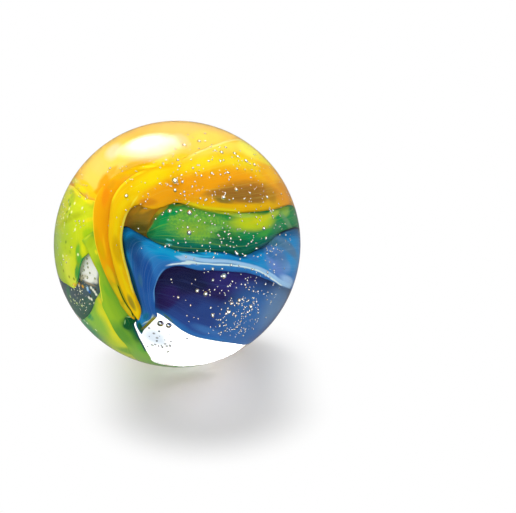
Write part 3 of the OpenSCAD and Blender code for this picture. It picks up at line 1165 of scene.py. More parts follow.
def orange_ribbon() -> Sheet:
    """The orange ribbon that lies beside the yellow one.

    Returns:
        The sheet.
    """
    right = [
        [-16, 63, 1.7], [-28, 62, 1.4], [-42, 58, 1.1], [-55, 48, 1], [-57, 37, 1], [-49, 23, 1],
        [-41, 10, 1], [-31, -6.3, 1], [-29.3, -10.4, 1], [-26.9, -14.1, 1], [-24.8, -16.9, 1],
        [-23.2, -18.2, 1],
    ]
    left = [
        [-14, 58, 1.7], [-22, 53, 1.5], [-31, 48, 1.2], [-38, 43, 1], [-40, 36, 1], [-36, 24, 1],
        [-32, 13, 1], [-28.5, 3, 1], [-23.8, -8.8, 1], [-22.8, -13.2, 1], [-22.4, -16.4, 1],
        [-22.4, -17.9, 1],
    ]
    finish = SwirledGlass(
        "orange_opal_glass",
        ((0, "#EFAE08"), (0.4, "#EFA204"), (1, "#E89404")),
        patches=(
            Patch(-30, 60, 1, 5, 2.6, 30, "#F2B030"),
            Patch(-28, -5, 1, 4.6, 1.6, -62, "#AFA417"),
            Patch(-49, 40, 1, 2.3, 0.86, 117, "#F09008", core=0.4),
            Patch(-44, 19, 1, 2.3, 0.68, -66, "#E4A202", core=0.4),
            Patch(-38.6, 17.2, 1, 2.1, 0.26, -66, "#F8B80A", 0.9),
            Patch(-33, 4, 1, 1.8, 0.48, -60, "#F2B40C", 0.9),
            Patch(-29, -6, 1, 1.31, 0.41, -60, "#E4B408", 0.9),
            Patch(-24, -14, 1, 1.21, 0.45, -57, "#CCB81C", core=0.5),
            Patch(-40, 15, 1, 2.1, 0.66, -60, "#DEAC00", 0.9),
            Patch(-34, 5, 1, 1.7, 0.66, -57, "#E2BC10", 0.9),
            Patch(-30, -3, 1, 1.6, 0.57, -58, "#D6C014", 0.9),
            Patch(-25, -12, 1, 1.22, 0.52, -59, "#D0BC1C", core=0.5),
            Patch(-50, 46, 1, 1.21, 0.95, 98, "#E49C0C", 0.9),
            Patch(-35, 58, 1.2, 3.4, 0.99, 36, "#E4B400", core=0.5, rough=0.3),
            Patch(-49, 52, 1, 1.31, 1.17, 64, "#E2AC0C", core=0.4, rough=0.3),
            Patch(-25, 62, 1.5, 2.3, 0.53, 31, "#F8D818", core=0.4),
            Patch(-10, 67, 1.7, 2.3, 0.63, 24, "#E6CC2C", core=0.4),
            Patch(-55, 45, 1, 0.99, 0.78, 111, "#EE9808", 0.9),
        ),
        lines=(
            Line("right", ((0.323, 0.1), (0.702, 0.1)), 0.17, "#F4DC28", fade=0.06),
            Line(
                "left",
                (
                    (0.772, 0.57), (0.815, 0.58), (0.86, 0.58), (0.902, 0.46), (0.945, 0.15), (0.985, 0.19),
                ),
                0.13, "#0C4A10", core=0.4,
            ),
        ),
        streak="#FFC020",
    )
    return Sheet("orange_ribbon", "orange_glass", right, left, finish)


def amber_canopy() -> Sheet:
    """The amber cap over the top, which shows again as a brown wedge under the yellow ribbon.

    Returns:
        The sheet.
    """
    right = [
        [-122, 9, 4.1], [-104, 20, 4.1], [-84, 26, 4.1], [-70, 27, 4.1], [-58, 22, 4.1], [-48, 18, 4.1],
        [-40, 17, 3.9], [-33, 17.5, 3.4], [-25, 18.5, 3], [-17, 19, 3], [-8, 22, 3], [3, 26, 3],
        [14, 26, 3], [28, 24, 3], [48, 20, 3], [68, 17, 3], [90, 12, 3], [112, 4, 3.1],
    ]
    left = [
        [-144, 28, 3.3], [-152, 40, 2.4], [-165, 48, 1.8], [170, 44, 1.6], [148, 42, 2], [130, 30, 2.4],
        [117, 12, 3],
    ]
    finish = SwirledGlass(
        "amber_opal_glass",
        ((0, "#EE9E14"), (0.2, "#F0AA1C"), (0.45, "#F2B436"), (0.75, "#F3BC4C"), (1, "#F0B040")),
        patches=(
            # Painted highlight halo: peach under the softbox's highlight
            Patch(-58, 76, 2.3, 5.7, 3.9, 66, "#F2BE70", 0.9, core=0.5),
            Patch(-86, 50, 2, 7, 7.6, 123, "#F2CF50", core=0.4),
            Patch(113, 80, 2, 8, 6.5, -113, "#F5C45E", core=0.4),
            Patch(70, 76, 2, 9, 3, -20, "#F8D050"),
            Patch(-38, 57, 2.5, 5.5, 2.8, 45, "#E8A01E", rough=0.3, broken=0.5),
            Patch(-24, 34, 3, 3.2, 2.6, 66, "#A27E28", core=0.4),
            Patch(-23, 27, 3, 2.6, 2, 27, "#5C571E"),
            Patch(-11, 68, 2.4, 4.1, 0.89, 26, "#F6D622", core=0.4, rough=0.25),
            Patch(-85, 49, 3.1, 1.45, 3.9, 102, "#F6CE62", 0.7),
            # Painted highlight halo: peach at the highlight's right end
            Patch(9, 83, 2.3, 1.6, 2.2, 10, "#FCE2A8", 0.8),
            Patch(-62, 57, 2.7, 1.5, 0.84, 65, "#EECA58", 0.8, rough=0.3),
            Patch(-39, 60, 2.5, 3.5, 0.89, 38, "#E2B404", core=0.5, rough=0.3),
            Patch(-54, 52, 2.7, 1.6, 0.75, 52, "#E4B410", 0.9, core=0.4, rough=0.3),
            Patch(-28, 63, 2.5, 2.3, 0.49, 33, "#F8D81C", 0.9, core=0.4),
            Patch(-4, 70, 2.4, 2.6, 0.82, 20, "#E6CC30", 0.9, core=0.4),
            Patch(-65, 40, 3.4, 0.73, 1.7, 135, "#EEA800", core=0.4),
            Patch(-82, 37, 3.6, 3.5, 0.72, 12, "#FACC14", core=0.5),
            Patch(-68, 37, 3.5, 1.7, 0.43, 7, "#F0C80C", core=0.5),
            Patch(-104, 30, 3.7, 0.45, 3.1, 117, "#E8DC4C", core=0.4),
            Patch(-20, 39, 2.8, 1.7, 0.48, 32, "#F0B428", 0.9, rough=0.3),
            Patch(-28, 37, 2.7, 1.15, 0.71, 46, "#B08828", 0.8, rough=0.3),
            Patch(-89, 33, 3.8, 3.3, 0.5, 16, "#F2E204", core=0.5),
            Patch(-28, 36, 2.8, 1.02, 0.84, 51, "#B08C28", 0.8, rough=0.3),
            # Painted highlight halo: peach at the highlight's right end
            Patch(27, 83, 2.3, 1.2, 2.5, -5, "#F4CC84", 0.9),
            Patch(-65, 46, 3.2, 1.9, 1.42, 116, "#EFA010", core=0.4, rough=0.3),
            Patch(-65, 53, 2.9, 1.13, 1.07, 73, "#E8AC24", 0.9, rough=0.4),
            Patch(-52, 59, 2.5, 2.6, 0.77, 52, "#DEB030", 0.9, rough=0.4),
            Patch(-27, 38, 3, 1.5, 0.57, 50, "#E0A82C", 0.9, rough=0.3),
            # Painted highlight halo: peach at the highlight's left end
            Patch(-93, 58, 2.7, 1.7, 2.8, 98, "#FFD8A0", 0.9),
        ),
        streak="#FFE060",
    )
    return Sheet("amber_canopy", "amber_glass", right, left, finish, across=60)


def green_band() -> Sheet:
    """The emerald and lime band under the yellow ribbon.

    Returns:
        The sheet.
    """
    right = [
        [-17, 25.5, 2], [-12, 20.5, 2], [-2, 16, 2], [8, 13, 2], [18, 11.5, 2], [28, 9.5, 2], [38, 8, 2],
        [52, 8.5, 2], [72, 6, 2], [95, 0, 2], [120, 3, 2], [145, 9, 2], [167, 8, 2],
    ]
    left = [
        [-17.4, 27.8, 2], [-15.6, 33.5, 2], [-10.6, 40.2, 2], [-4, 43, 2], [6, 46, 2], [16, 44, 2],
        [25, 41, 2], [35, 38, 2], [49, 35, 2], [67, 31, 2], [93, 25, 2], [120, 22, 2], [145, 22, 2],
        [168, 10, 2],
    ]
    finish = SwirledGlass(
        "emerald_glass",
        ((0, "#0C4A58"), (0.2, "#0A6458"), (0.4, "#14804C"), (0.7, "#1F8A44"), (1, "#3C8C34")),
        patches=(
            Patch(14, 30, 2, 6.2, 2.6, -20, "#76B840", core=0.5, rough=0.3, broken=0.5),
            Patch(47, 26, 2, 5, 1.5, -14, "#BED020", core=0.4),
            Patch(27, 24, 2, 4.4, 1.2, -36, "#12743C", 0.9),
            Patch(30, 16, 2, 7, 1.4, -8, "#0B6450", broken=0.3),
            Patch(11, 29, 2, 3.4, 1.29, -9, "#7EB038", core=0.4, rough=0.3, broken=0.45),
            Patch(23, 38, 2, 3.4, 0.41, -22, "#E2D81E", core=0.4),
            Patch(27, 21, 2, 4.6, 0.64, -13, "#0A6048", 0.9, rough=0.2),
            Patch(63, 18, 2, 2.1, 1.02, -4, "#3C8058", 0.8),
            Patch(17, 19.9, 2, 3.5, 0.26, -11, "#0C7460", 0.8),
            Patch(-7, 36, 2, 1.42, 0.79, 55, "#0C8E4C", core=0.4, rough=0.25),
            # Partly painted light: lime-yellow glass, painted brighter to lift the shade under the yellow
            # ribbon's edge
            Patch(18, 39, 2, 3.4, 0.55, -21, "#F2EC28", core=0.4, rough=0.12),
            Patch(63, 25, 2, 2.8, 0.58, -7, "#B0CC44", core=0.4, rough=0.2),
            Patch(76, 21, 2, 2.3, 0.72, -12, "#8CB84C", 0.9, rough=0.2),
            Patch(53, 26, 2, 3.1, 0.58, -5, "#D2D01C", 0.9),
            Patch(60, 14, 2, 2.7, 0.66, -11, "#3C7480", 0.9, rough=0.2),
            # Painted glints: the two turquoise flecks below
            Patch(-4.5, 24, 2, 0.58, 0.18, -17, "#6CDCD0", 0.9, rough=0.5, broken=0.5),
            Patch(-4.5, 21.8, 2, 0.64, 0.19, -9, "#62D0D0", 0.9, rough=0.5, broken=0.5),
            Patch(-15, 27, 2, 1.16, 0.66, 45, "#0A6A3C", core=0.4, rough=0.25),
            Patch(-12, 37, 2, 1.28, 0.47, 54, "#7E7E24", 0.9, rough=0.4),
            Patch(-10, 39, 2, 1.28, 0.47, 35, "#C4AE20", core=0.5, rough=0.4),
            Patch(-1, 38, 2, 1.03, 0.59, 31, "#0A9450", core=0.4, rough=0.25),
            Patch(-8, 32, 2, 1.02, 0.65, 53, "#10964C", 0.9, core=0.4, rough=0.3),
            Patch(2.1, 41.6, 2, 1.02, 0.22, 7, "#A4A824", 0.9, rough=0.2),
            Patch(31, 35, 2, 2.8, 0.49, -22, "#DCE024", core=0.5, rough=0.1),
            Patch(41, 31, 2, 2.5, 0.4, -17, "#B0D84C", core=0.4),
            Patch(21, 28, 2, 1.6, 0.64, 1, "#80C05C", 0.8, rough=0.3, broken=0.4),
            Patch(6, 28, 2, 1.5, 0.77, 12, "#98BC40", 0.8, rough=0.3, broken=0.4),
            Patch(52, 19, 2, 2.2, 0.54, -1, "#409C40", 0.9, rough=0.3),
            Patch(77, 23, 2, 2.8, 0.4, -19, "#84AC2C", 0.9, rough=0.2),
            Patch(-15, 32, 2, 1.5, 0.4, 63, "#6A6824", 0.8, rough=0.4, broken=0.4),
            Patch(-16, 31, 2, 1.7, 0.35, 69, "#70581C", 0.95, core=0.5, rough=0.3),
            Patch(-10.7, 39.2, 2, 1.15, 0.32, 37, "#E0BC28", 0.95, core=0.4, rough=0.3),
            Patch(75, 15, 2, 0.82, 3.2, 28, "#5C9468", 0.9),
            Patch(50, 13, 2, 2, 0.57, 0, "#2C5E78", 0.9, rough=0.2),
        ),
        streak="#A0D030", streaks=0.35,
    )
    return Sheet("green_band", "green_glass", right, left, finish)


def blue_arch() -> Sheet:
    """The blue sheet that rises in a column and arches over the hollow.

    Returns:
        The sheet.
    """
    right = [
        [-20.1, -27.3, 1], [-18.9, -25, 1], [-17.1, -22.8, 1], [-14.2, -19.5, 1], [-12.2, -17.2, 1],
        [-10.6, -15.2, 1], [-10.6, -13.2, 1], [-11.2, -10.2, 1], [-11.2, -5.8, 1], [-11.3, -1.5, 1],
        [-10.7, 1.8, 1], [-9, 6.2, 1], [-6.2, 9.6, 1], [-2.4, 11.3, 1], [1.6, 11.5, 1], [5.6, 10.3, 1],
        [10, 9, 1], [17.9, 8, 1], [26.4, 6, 1], [35.6, 3.2, 1], [46, -2.4, 1], [60.4, -11.2, 1],
        [78.7, -20.8, 1], [96, -34, 1], [114, -45, 1], [131, -48, 1],
    ]
    left = [
        [-20.7, -27.3, 1], [-21.6, -25.1, 1], [-22.3, -22.6, 1], [-22.2, -19.6, 1], [-21, -16.2, 1],
        [-22, -8, 1], [-25.5, 4, 1], [-29, 13, 1], [-31.5, 20, 1], [-32.5, 26, 1], [-29, 28.6, 1],
        [-23, 27, 1], [-16, 24.6, 1], [-8.7, 21.6, 1], [-3.8, 20, 1], [0.5, 18.6, 1], [6, 18.4, 1],
        [12, 17.5, 1], [18, 17.3, 1], [24.6, 15.8, 1], [28.7, 14, 1], [33, 12.4, 1], [37, 12.3, 1],
        [42, 13.2, 1], [49, 13.4, 1], [57, 15.3, 1], [66, 15.2, 1], [84, 10, 1], [104, -2, 1],
        [122, -22, 1], [134, -44, 1],
    ]
    finish = SwirledGlass(
        "blue_opal_glass",
        (
            (0, "#2C66B0"), (0.2, "#2E78C0"), (0.42, "#2A8ED0"), (0.8, "#0E86CC"), (0.93, "#0A5A90"),
            (1, "#06202C"),
        ),
        patches=(
            Patch(-24, 21, 1, 1.6, 3.4, -60, "#0C4365", 0.9),
            Patch(-5, 18, 1, 4, 1.1, -15, "#0A9CD4", 0.9),
            Patch(-16, 1, 1, 6.5, 2, -80, "#2458A2", core=0.5),
            Patch(-15, 6, 1, 3, 0.93, 87, "#1E4E98", core=0.5),
            Patch(-20, 24, 1, 1.36, 0.39, -20, "#145C96", 0.9),
            Patch(-14, 21, 1, 1.6, 0.45, -20, "#1084C6", 0.9),
            Patch(-7, 16, 1, 1.42, 0.65, -6, "#0C84CA", 0.9),
            Patch(17, 16, 1, 2.4, 0.34, -13, "#16A4E6", 0.9, core=0.4),
            Patch(39, 10, 1, 1.8, 0.52, -32, "#2C78C4", 0.9),
            Patch(55, 3, 1, 4, 2.1, -52, "#6486CC", core=0.4),
            # Painted highlight: the pale end of the arch's ridge at the right
            Patch(67, -11, 1, 4.1, 0.85, -32, "#98C0EE", core=0.4),
            Patch(-16, -15, 1, 1.01, 0.52, 62, "#146C92", 0.9),
            Patch(-14, -19, 1, 1.5, 0.43, 48, "#A09A30", core=0.5),
            Patch(-20, -23, 1, 1.5, 0.48, -84, "#0E5C3A", core=0.5),
            Patch(-18, 4, 1, 1.34, 0.42, -80, "#2E6088", 0.9),
            Patch(66, 7, 1, 1.09, 5.3, 50, "#4E7AA0", core=0.4),
            Patch(55, 13, 1, 3, 0.72, -30, "#3A7088", 0.9),
            Patch(51, 8, 1, 1.7, 0.63, -44, "#3E78B6", 0.9),
            Patch(63, -2, 1, 2.4, 1.11, -37, "#6494CE", 0.9),
            Patch(5, 16, 1, 2, 0.34, -6, "#38B0E0", core=0.6, rough=0.1),
            Patch(54, 7, 1, 2.6, 0.89, -36, "#3C70AC", 0.5),
            Patch(-21, 15, 1, 3.1, 1.39, -68, "#1C4280", 0.9, core=0.1, rough=0.25),
            Patch(59, 5, 1, 3, 2, -56, "#4C78AC", 0.7, core=0.2, rough=0.25),
        ),
        lines=(
            Line(
                "left",
                (
                    (0.06, 0.57), (0.085, 0.76), (0.118, 0.91), (0.148, 0.96), (0.175, 0.94), (0.195, 0.82),
                    (0.216, 0.75), (0.231, 0.65),
                ),
                0.42, "#0C3A40", 0.9, core=0.2,
            ),
            # Painted highlight: a pale band along the arch's ridge
            Line(
                "right",
                (
                    (0.301, 1.05), (0.333, 1), (0.366, 1.3), (0.383, 1.31), (0.406, 1.22), (0.429, 1.24),
                    (0.451, 1.18), (0.479, 1.01), (0.499, 0.91), (0.519, 0.86), (0.541, 0.76),
                    (0.569, 0.61), (0.594, 0.45), (0.639, 0.36), (0.702, 0.34),
                ),
                0.44, "#A0CCF4", core=0.45,
            ),
            Line(
                "right",
                (
                    (0.246, 0.52), (0.271, 0.53), (0.321, 0.72), (0.348, 1), (0.366, 1.09), (0.386, 0.98),
                    (0.424, 1.05), (0.459, 0.96),
                ),
                0.16, "#4C88C8", 0.8,
            ),
            # Painted highlight: the bright line along the arch's ridge
            Line(
                "right",
                (
                    (0.233, 0.45), (0.248, 0.35), (0.266, 0.31), (0.311, 0.52), (0.348, 0.93),
                    (0.371, 0.94), (0.393, 0.83), (0.419, 0.88), (0.444, 0.85), (0.474, 0.76), (0.494, 0.7),
                    (0.509, 0.69), (0.521, 0.6), (0.544, 0.44), (0.564, 0.34), (0.584, 0.26), (0.602, 0.14),
                    (0.629, 0.06),
                ),
                0.15, "#D8F0FF", core=0.4,
            ),
            Line(
                "right",
                (
                    (0.12, 0.1), (0.148, 0.11), (0.178, 0.02), (0.198, 0.07), (0.218, 0.12), (0.236, 0.21),
                ),
                0.16, "#5C9CDC", 0.8,
            ),
            Line(
                "left",
                (
                    (0.338, 0.28), (0.361, 0.32), (0.373, 0.43), (0.386, 0.46), (0.404, 0.61),
                    (0.424, 0.78),
                ),
                0.16, "#48C4F4", 0.8,
            ),
            Line(
                "right",
                (
                    (0.033, 0.76), (0.048, 0.65), (0.058, 0.48), (0.068, 0.4), (0.075, 0.5), (0.083, 0.53),
                    (0.09, 0.18),
                ),
                0.15, "#D4F2DC",
            ),
            Line("right", ((0.013, 0.22), (0.09, 0.22)), 0.32, "#98902C", core=0.5),
        ),
        streak="#A8D8FF", streaks=0.1,
    )
    return Sheet("blue_arch", "blue_glass", right, left, finish)


def violet_wall() -> Sheet:
    """The deep violet back of the hollow, which carries on round the ball.

    Returns:
        The sheet.
    """
    right = [
        [-20, -17, 4.6], [-13.7, -19, 4.5], [-9.3, -21.3, 4.4], [-4, -26, 4.3], [2.6, -32.2, 4.2],
        [10, -36.8, 4.1], [25.6, -42, 3.8], [42.5, -46.6, 3.3], [70, -53, 2.8], [88, -54, 2.6],
        [110, -40, 2.6],
    ]
    left = [
        [-19, 10, 4.6], [-8, 16, 4.8], [4, 18, 4.8], [20, 14, 4.6], [40, 8, 4.2], [64, -5, 3.6],
        [92, -18, 3], [112, -32, 2.6],
    ]
    finish = SwirledGlass(
        "violet_glass",
        ((0, "#2C70B4"), (0.05, "#2A62A8"), (0.12, "#284488"), (0.5, "#262050"), (1, "#1C1440")),
        patches=(
            Patch(7, 1, 4.6, 5, 2.2, 2, "#1C2046"),
            Patch(33, -3, 4.2, 6, 2.4, -22, "#302C70"),
            Patch(20, -20, 4.2, 5.6, 2.6, -27, "#28407E"),
            Patch(48, -29, 3.6, 6, 8, 35, "#3462A0", core=0.4),
            Patch(69, -24, 3.4, 5, 5, -20, "#5A7CA4"),
            Patch(-6, -9, 4.6, 1.6, 2.4, -33, "#2A2058", core=0.5),
            Patch(8, -11, 4.5, 1.5, 1.23, -26, "#24306A", 0.8),
            Patch(39, -1, 4.3, 2.6, 0.73, -26, "#2E2668", 0.8),
            Patch(18, -32, 4.2, 3.3, 0.88, -28, "#3868A8", 0.9),
            Patch(12, -2, 4.6, 1.7, 0.67, 5, "#1C2042", 0.8),
            Patch(-6.2, -22, 4.4, 1.2, 0.2, -47, "#5C7838", 0.9),
        ),
        streak="#4A68B0",
    )
    return Sheet("violet_wall", "violet_glass", right, left, finish)


def lime_lobe() -> Sheet:
    """The yellow-green left flank.

    Returns:
        The sheet.
    """
    right = [
        [-142, 14, 2.6], [-138, 4, 2.9], [-126, -5, 3], [-108, -12, 3], [-87, -15.5, 3], [-76, -14.5, 3],
        [-67, -13.9, 3],
    ]
    left = [
        [-140, 19, 2.4], [-124, 20, 2.2], [-109, 24.5, 2.1], [-93, 31, 2.2], [-84, 32.6, 2.6],
        [-75, 33.4, 2.9], [-68, 34.2, 3], [-61, 35.6, 3], [-54, 36.5, 3], [-48, 34, 3], [-45, 28, 3],
        [-43.5, 19, 3], [-48, 14, 3], [-52.8, 9.6, 3], [-56.4, 5.4, 3], [-58.6, 0, 3], [-60, -5.5, 3],
        [-62, -9.2, 3], [-64.6, -12.4, 3],
    ]
    finish = SwirledGlass(
        "lime_glass",
        ((0, "#A8C428"), (0.5, "#B8CE18"), (0.85, "#C8D618"), (0.93, "#9CBE20"), (1, "#689C22")),
        patches=(
            Patch(-66, 41, 2.2, 7, 2.6, 20, "#F4D020", core=0.5, rough=0.25),
            Patch(-90, 36, 2.2, 6, 1.4, 33, "#F2DC50", core=0.5, rough=0.25),
            Patch(-84, 5, 3, 5, 6, 21, "#A4C030"),
            Patch(-68, -5, 3, 2.4, 3.8, 17, "#D2DC3D"),
            Patch(-59, 3, 3, 3.4, 0.9, 107, "#6CA022", 0.9),
            Patch(-92, 18, 2.6, 3.4, 5, 30, "#E8C838", 0.5, rough=0.3, broken=1),
            Patch(-88, 4, 3, 2.3, 2.7, 123, "#98B84C", 0.9),
            Patch(-65, 1, 3, 2.5, 1, 93, "#D2DE28", 0.8),
            Patch(-56, 19, 3, 1.11, 1.32, 98, "#A4CC18", core=0.4),
            Patch(-61, 9, 3, 1.04, 0.55, 85, "#6CB02A", core=0.4),
            Patch(-59, 5, 3, 0.9, 0.68, 90, "#5EAE2E", core=0.4),
            Patch(-61.2, -3, 3, 1.5, 0.51, 80, "#4C9A38", core=0.4),
            Patch(-56.6, 10.8, 3, 0.9, 0.47, -47, "#D8E018", core=0.4),
            Patch(-85, 27, 2.8, 1.16, 1.08, 130, "#8CB424", 0.8, rough=0.3, broken=0.5),
            Patch(-60, 24, 3, 1.24, 1.8, 107, "#CCDA18", 0.8),
            Patch(-64.4, -10.9, 3, 0.61, 0.41, 19, "#E4B430", 0.9),
            Dots(
                (
                    (-81.8, 32.8), (-72.6, 34.8), (-79.3, 27.3), (-82.3, 23), (-77.8, 23), (-80.1, 19.3),
                    (-85, 16.7), (-80.6, 15), (-69, 28.6), (-67.5, 17.4), (-60.3, 6.7), (-75.7, 0.5),
                ),
                2.8, 0.26, "#FCF8B0",
            ),
            Dots(
                (
                    (-88.2, 25), (-83.9, 24.6), (-83.3, 20.7), (-78.6, 21), (-79.5, 17.3), (-73.8, 8.5),
                    (-68, 5.4),
                ),
                2.8, 0.3, "#5C8A18",
            ),
            Dots(((-68.9, -8), (-64.1, -7.5), (-75.5, -7.2), (-73.4, 5.6)), 2.8, 0.28, "#7C8A1C"),
            Patch(-68, 33, 3, 1.8, 0.37, 7, "#E8D81C", 0.9, core=0.2),
            Patch(-61, 28, 3, 0.91, 2.4, 120, "#CAD81C", core=0.5),
            Patch(-75, 31, 3, 2.1, 0.65, 8, "#CCD60C", 0.9, core=0.5),
            Patch(-58, 26, 3, 0.45, 2.3, 120, "#E2DC1C", 0.9, rough=0.25),
            Patch(-73, 5, 3, 0.76, 2.9, 92, "#B0CA20", 0.8),
            Patch(-78, 19, 3, 0.76, 5.2, 127, "#A0B010", 0.7, rough=0.3),
        ),
        lines=(
            Line("left", ((0.817, 0.08), (0.97, 0.08)), 0.16, "#2A8A4C"),
            # Partly painted light: a lime-yellow line along the top edge, where lime meets the yellow
            # above, which paints out the shade line there
            Line("left", ((0.333, 0.1), (0.524, 0.1)), 0.4, "#E4DC1C", core=0.5),
        ),
        streak="#E8F040",
    )
    return Sheet("lime_lobe", "lime_glass", right, left, finish)


def leaf_strand() -> Sheet:
    """The leaf-green strand: from the lobe's fold down to the bottom left and on under the ball.

    Returns:
        The sheet.
    """
    right = [
        [-57.5, 15, 2], [-53.5, 13, 2], [-50.4, 10.2, 2], [-46.5, 6.1, 2], [-43, 2, 2], [-42.7, -2.6, 2],
        [-42.3, -6.6, 2], [-42.1, -11.6, 2], [-42.3, -16.1, 2], [-41.3, -19.9, 2], [-40.2, -24.7, 2],
        [-39.6, -30.1, 2], [-38.8, -34.5, 2], [-38, -37.9, 2], [-36.8, -41, 2], [-37.5, -46, 2],
        [-42, -56, 2], [-48, -66, 2], [-35, -73, 2], [0, -77, 2], [30, -76, 2], [50, -71.5, 2],
    ]
    left = [
        [-46, 26, 2], [-41, 18, 2], [-36, 7, 2], [-31, -3, 2], [-25, -12, 2], [-21.4, -19, 2],
        [-23.4, -21.3, 2], [-24.5, -23.4, 2], [-24.4, -25.5, 2], [-24, -28.7, 2], [-23.6, -33.2, 2],
        [-22.9, -37.9, 2], [-22.7, -43.9, 2], [-22.9, -51.2, 2], [-24.5, -58, 2], [-16, -64, 2],
        [1, -66.4, 2], [25, -67.6, 2], [49, -68.4, 2],
    ]
    finish = SwirledGlass(
        "leaf_green_opal_glass",
        ((0, "#86B82A"), (0.2, "#92BC28"), (0.45, "#84B228"), (0.8, "#6EA42A"), (1, "#4C9030")),
        patches=(
            Patch(-47, 13, 2, 3.2, 2.2, 15, "#B4CE24"),
            Patch(-24, -23, 2, 2, 2.6, -60, "#155C2A", core=0.5),
            Patch(-24, -33, 2, 3.6, 1.2, -84, "#1E6A2C", 0.9),
            Patch(-34, -33, 2, 3.6, 2, -80, "#5A952D"),
            Patch(-28, -49, 2, 4.6, 2.3, -99, "#79AB3E"),
            Patch(-50, 16, 2, 0.99, 0.85, 67, "#A8C41A", core=0.4),
            Patch(-45, 4, 2, 1.6, 0.47, -61, "#BEB61E", core=0.4),
            Patch(-44.9, 12.6, 2, 0.53, 0.27, -46, "#F2E420", 0.9),
            Patch(-37, -6, 2, 1.5, 0.53, -58, "#6CB02A", 0.8),
            Patch(-27, -24, 2, 0.82, 1.35, -61, "#065028", core=0.6),
            Patch(-24.3, -29.4, 2, 1.7, 0.45, -80, "#0A5A40", 0.9),
            Patch(-25, -42, 2, 1.7, 0.81, -89, "#5CAC36", 0.8),
            Patch(-26, -21, 2, 0.96, 0.97, -38, "#04502A", core=0.7, rough=0.08),
            Patch(-25.7, -18.3, 2, 0.7, 0.14, 3, "#A8DC90", 0.8),
            Patch(-29.3, -22, 2, 0.66, 0.11, 71, "#9CD488", 0.7),
            # Painted light: a thin bright stroke at the strand's top, which hides the shade line where it
            # meets the lobe
            Patch(-53.3, 18, 2, 1.17, 0.26, 45, "#C4D82C", 0.8),
        ),
        lines=(
            Line("right", ((0.168, 0.16), (0.296, 0.16)), 0.22, "#E2E23C"),
            Line("left", ((0.426, 0.1), (0.632, 0.1)), 0.17, "#064848"),
        ),
        streak="#A8D048",
    )
    return Sheet("leaf_strand", "leaf_green_glass", right, left, finish)


def lime_skirt() -> Sheet:
    """The lime sheet below the dark patch.

    Returns:
        The sheet.
    """
    right = [
        [-43.5, -8, 3], [-46.6, -12.1, 3], [-49.6, -16.1, 3], [-52.7, -20.7, 3], [-56.9, -25, 3],
        [-64.2, -30, 3], [-81.1, -37, 3], [-84, -39.5, 3], [-98, -44, 3], [-112, -48, 3],
    ]
    left = [
        [-36, -8, 3], [-34, -18, 3], [-33, -28, 3], [-33, -42, 3], [-38, -56, 3], [-62, -65, 3],
        [-110, -50, 3],
    ]
    finish = SwirledGlass(
        "yellow_lime_glass",
        ((0, "#7CB040"), (0.4, "#A8C42C"), (1, "#CCD62C")),
        patches=(
            Patch(-44, -30, 3, 5.4, 1.6, -84, "#DCDC2C"),
            Patch(-72, -38, 3, 4.4, 4, 27, "#3C8C58"),
            Patch(-55, -31, 3, 3.6, 2.8, 31, "#84B73E"),
            Patch(-41, -29, 3, 3.7, 0.92, -86, "#DEDC22", core=0.4),
            Patch(-40, -51, 3, 1.45, 3.1, -81, "#7AAC30", core=0.4),
            Patch(-45, -14, 3, 0.75, 0.62, -62, "#ECD028", 0.8, rough=0.3, broken=0.5),
            Patch(-60, -28, 3, 0.92, 1.42, -81, "#2C8C50", 0.9),
            Dots(((-70.9, -34.2), (-68.2, -35), (-60.6, -37.3)), 3, 0.25, "#E8F4C0"),
        ),
        streak="#F0F050",
    )
    return Sheet("lime_skirt", "lime_glass", right, left, finish)


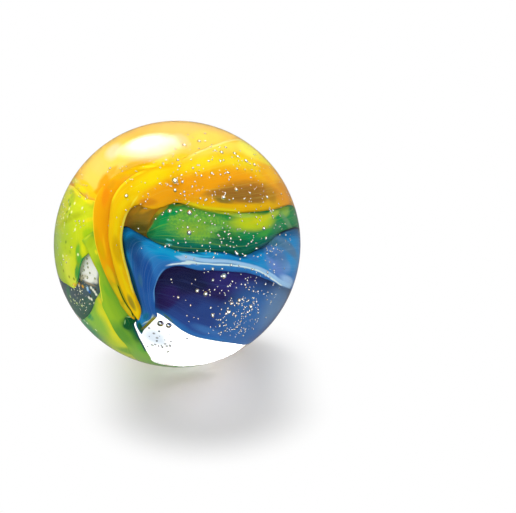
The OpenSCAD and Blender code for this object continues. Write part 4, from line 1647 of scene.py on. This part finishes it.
def teal_patch() -> Sheet:
    """The scrap deep in the gap at the left: cream above, dark slate below.

    Returns:
        The sheet.
    """
    right = [
        [-98, -32, 4.2], [-88, -38, 4.2], [-72, -40, 4.2], [-54, -34, 4.2], [-38, -20, 4.2],
    ]
    left = [
        [-96, -12, 4.2], [-80, -8, 4.2], [-69, -2, 4.2], [-63, 5, 4.2], [-58, 11, 4.2], [-52, 13, 4.2],
        [-46.5, 8, 4.2], [-42, 1, 4.2], [-38, -6, 4.2],
    ]
    finish = SwirledGlass(
        "dark_teal_glass",
        ((0, "#2E6A4C"), (0.3, "#3C5C50"), (0.6, "#46545A"), (0.8, "#46545A"), (1, "#C8C4B0")),
        patches=(
            Patch(-55, 0, 4.2, 2.1, 2.1, 92, "#FDFDEE", core=0.7, rough=0.05),
            Patch(-60, -6, 4.2, 1.6, 0.47, 28, "#CCC4AC", 0.9),
            Patch(-49, -5, 4.2, 0.54, 0.53, -22, "#D8D4CC", 0.9),
            Patch(-61, -15, 4.2, 1.7, 0.8, 4, "#445660", core=0.5),
            Patch(-81, -21, 4.2, 0.72, 1.9, -41, "#3A7050", 0.9),
            Dots(
                (
                    (-56.4, 5.4), (-55.6, 3), (-54.9, 1.1), (-58.1, -1.4), (-53.3, -1.6), (-55.2, -4.6),
                    (-49.4, -3.6),
                ),
                4.2, 0.22, "#7C8434",
            ),
            # Painted glints: the next five sets of dots stand for lit bubbles, the dark ones for their rims
            Dots(((-63.3, -10.9), (-50.4, -17), (-60.3, -11.3)), 4.2, 0.3, "#F4B030"),
            Dots(((-56.3, -10.8), (-56.1, -12)), 4.2, 0.32, "#A8D0F8"),
            Dots(((-54.9, -12.9),), 4.2, 0.3, "#2850A8"),
            Dots(
                (
                    (-64.2, -12), (-53, -9.9), (-51.6, -10.8), (-50.6, -11.6), (-49.7, -12.9),
                    (-56.4, -16.8), (-54.6, -17.2), (-52.8, -19.5),
                ),
                4.2, 0.3, "#FFFBE0",
            ),
            Dots(((-49.5, -9.8), (-54.7, -15.4), (-62.6, -8.1)), 4.2, 0.2, "#4A2008"),
            Dots(
                (
                    (-79.6, -23), (-75.8, -23.9), (-72.9, -24.9), (-67.3, -24.8), (-82.1, -26.2),
                ),
                4.2, 0.24, "#C8E088",
            ),
            Patch(-53.7, -8, 4.2, 1.5, 0.24, 0, "#8C7C60", 0.9),
        ),
        streak="#8AA890",
    )
    return Sheet("teal_patch", "teal_glass", right, left, finish)


SHEETS = (
    yellow_ribbon, orange_ribbon, amber_canopy, green_band, blue_arch, violet_wall, lime_lobe, leaf_strand,
    lime_skirt, teal_patch,
)


def swirl() -> list[Sheet]:
    """The coloured sheets, placed as the solids have them, with their glass."""
    return [sheet() for sheet in SHEETS]


def main() -> None:
    """Builds the marble and the studio, and reports each piece."""
    logging.basicConfig(level=logging.INFO, format="%(name)s: %(message)s")
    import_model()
    low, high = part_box("clear_glass")
    build = Build(radius=(high[0] - low[0]) / 2 / MM)
    pieces = ClearBall(build).build()
    pieces += [sheet.build(build) for sheet in swirl()]
    Studio(build.radius).build()
    for piece in pieces:
        log.info("%s: %d faces", piece.name, len(piece.data.polygons))


if __name__ == "__main__":
    main()
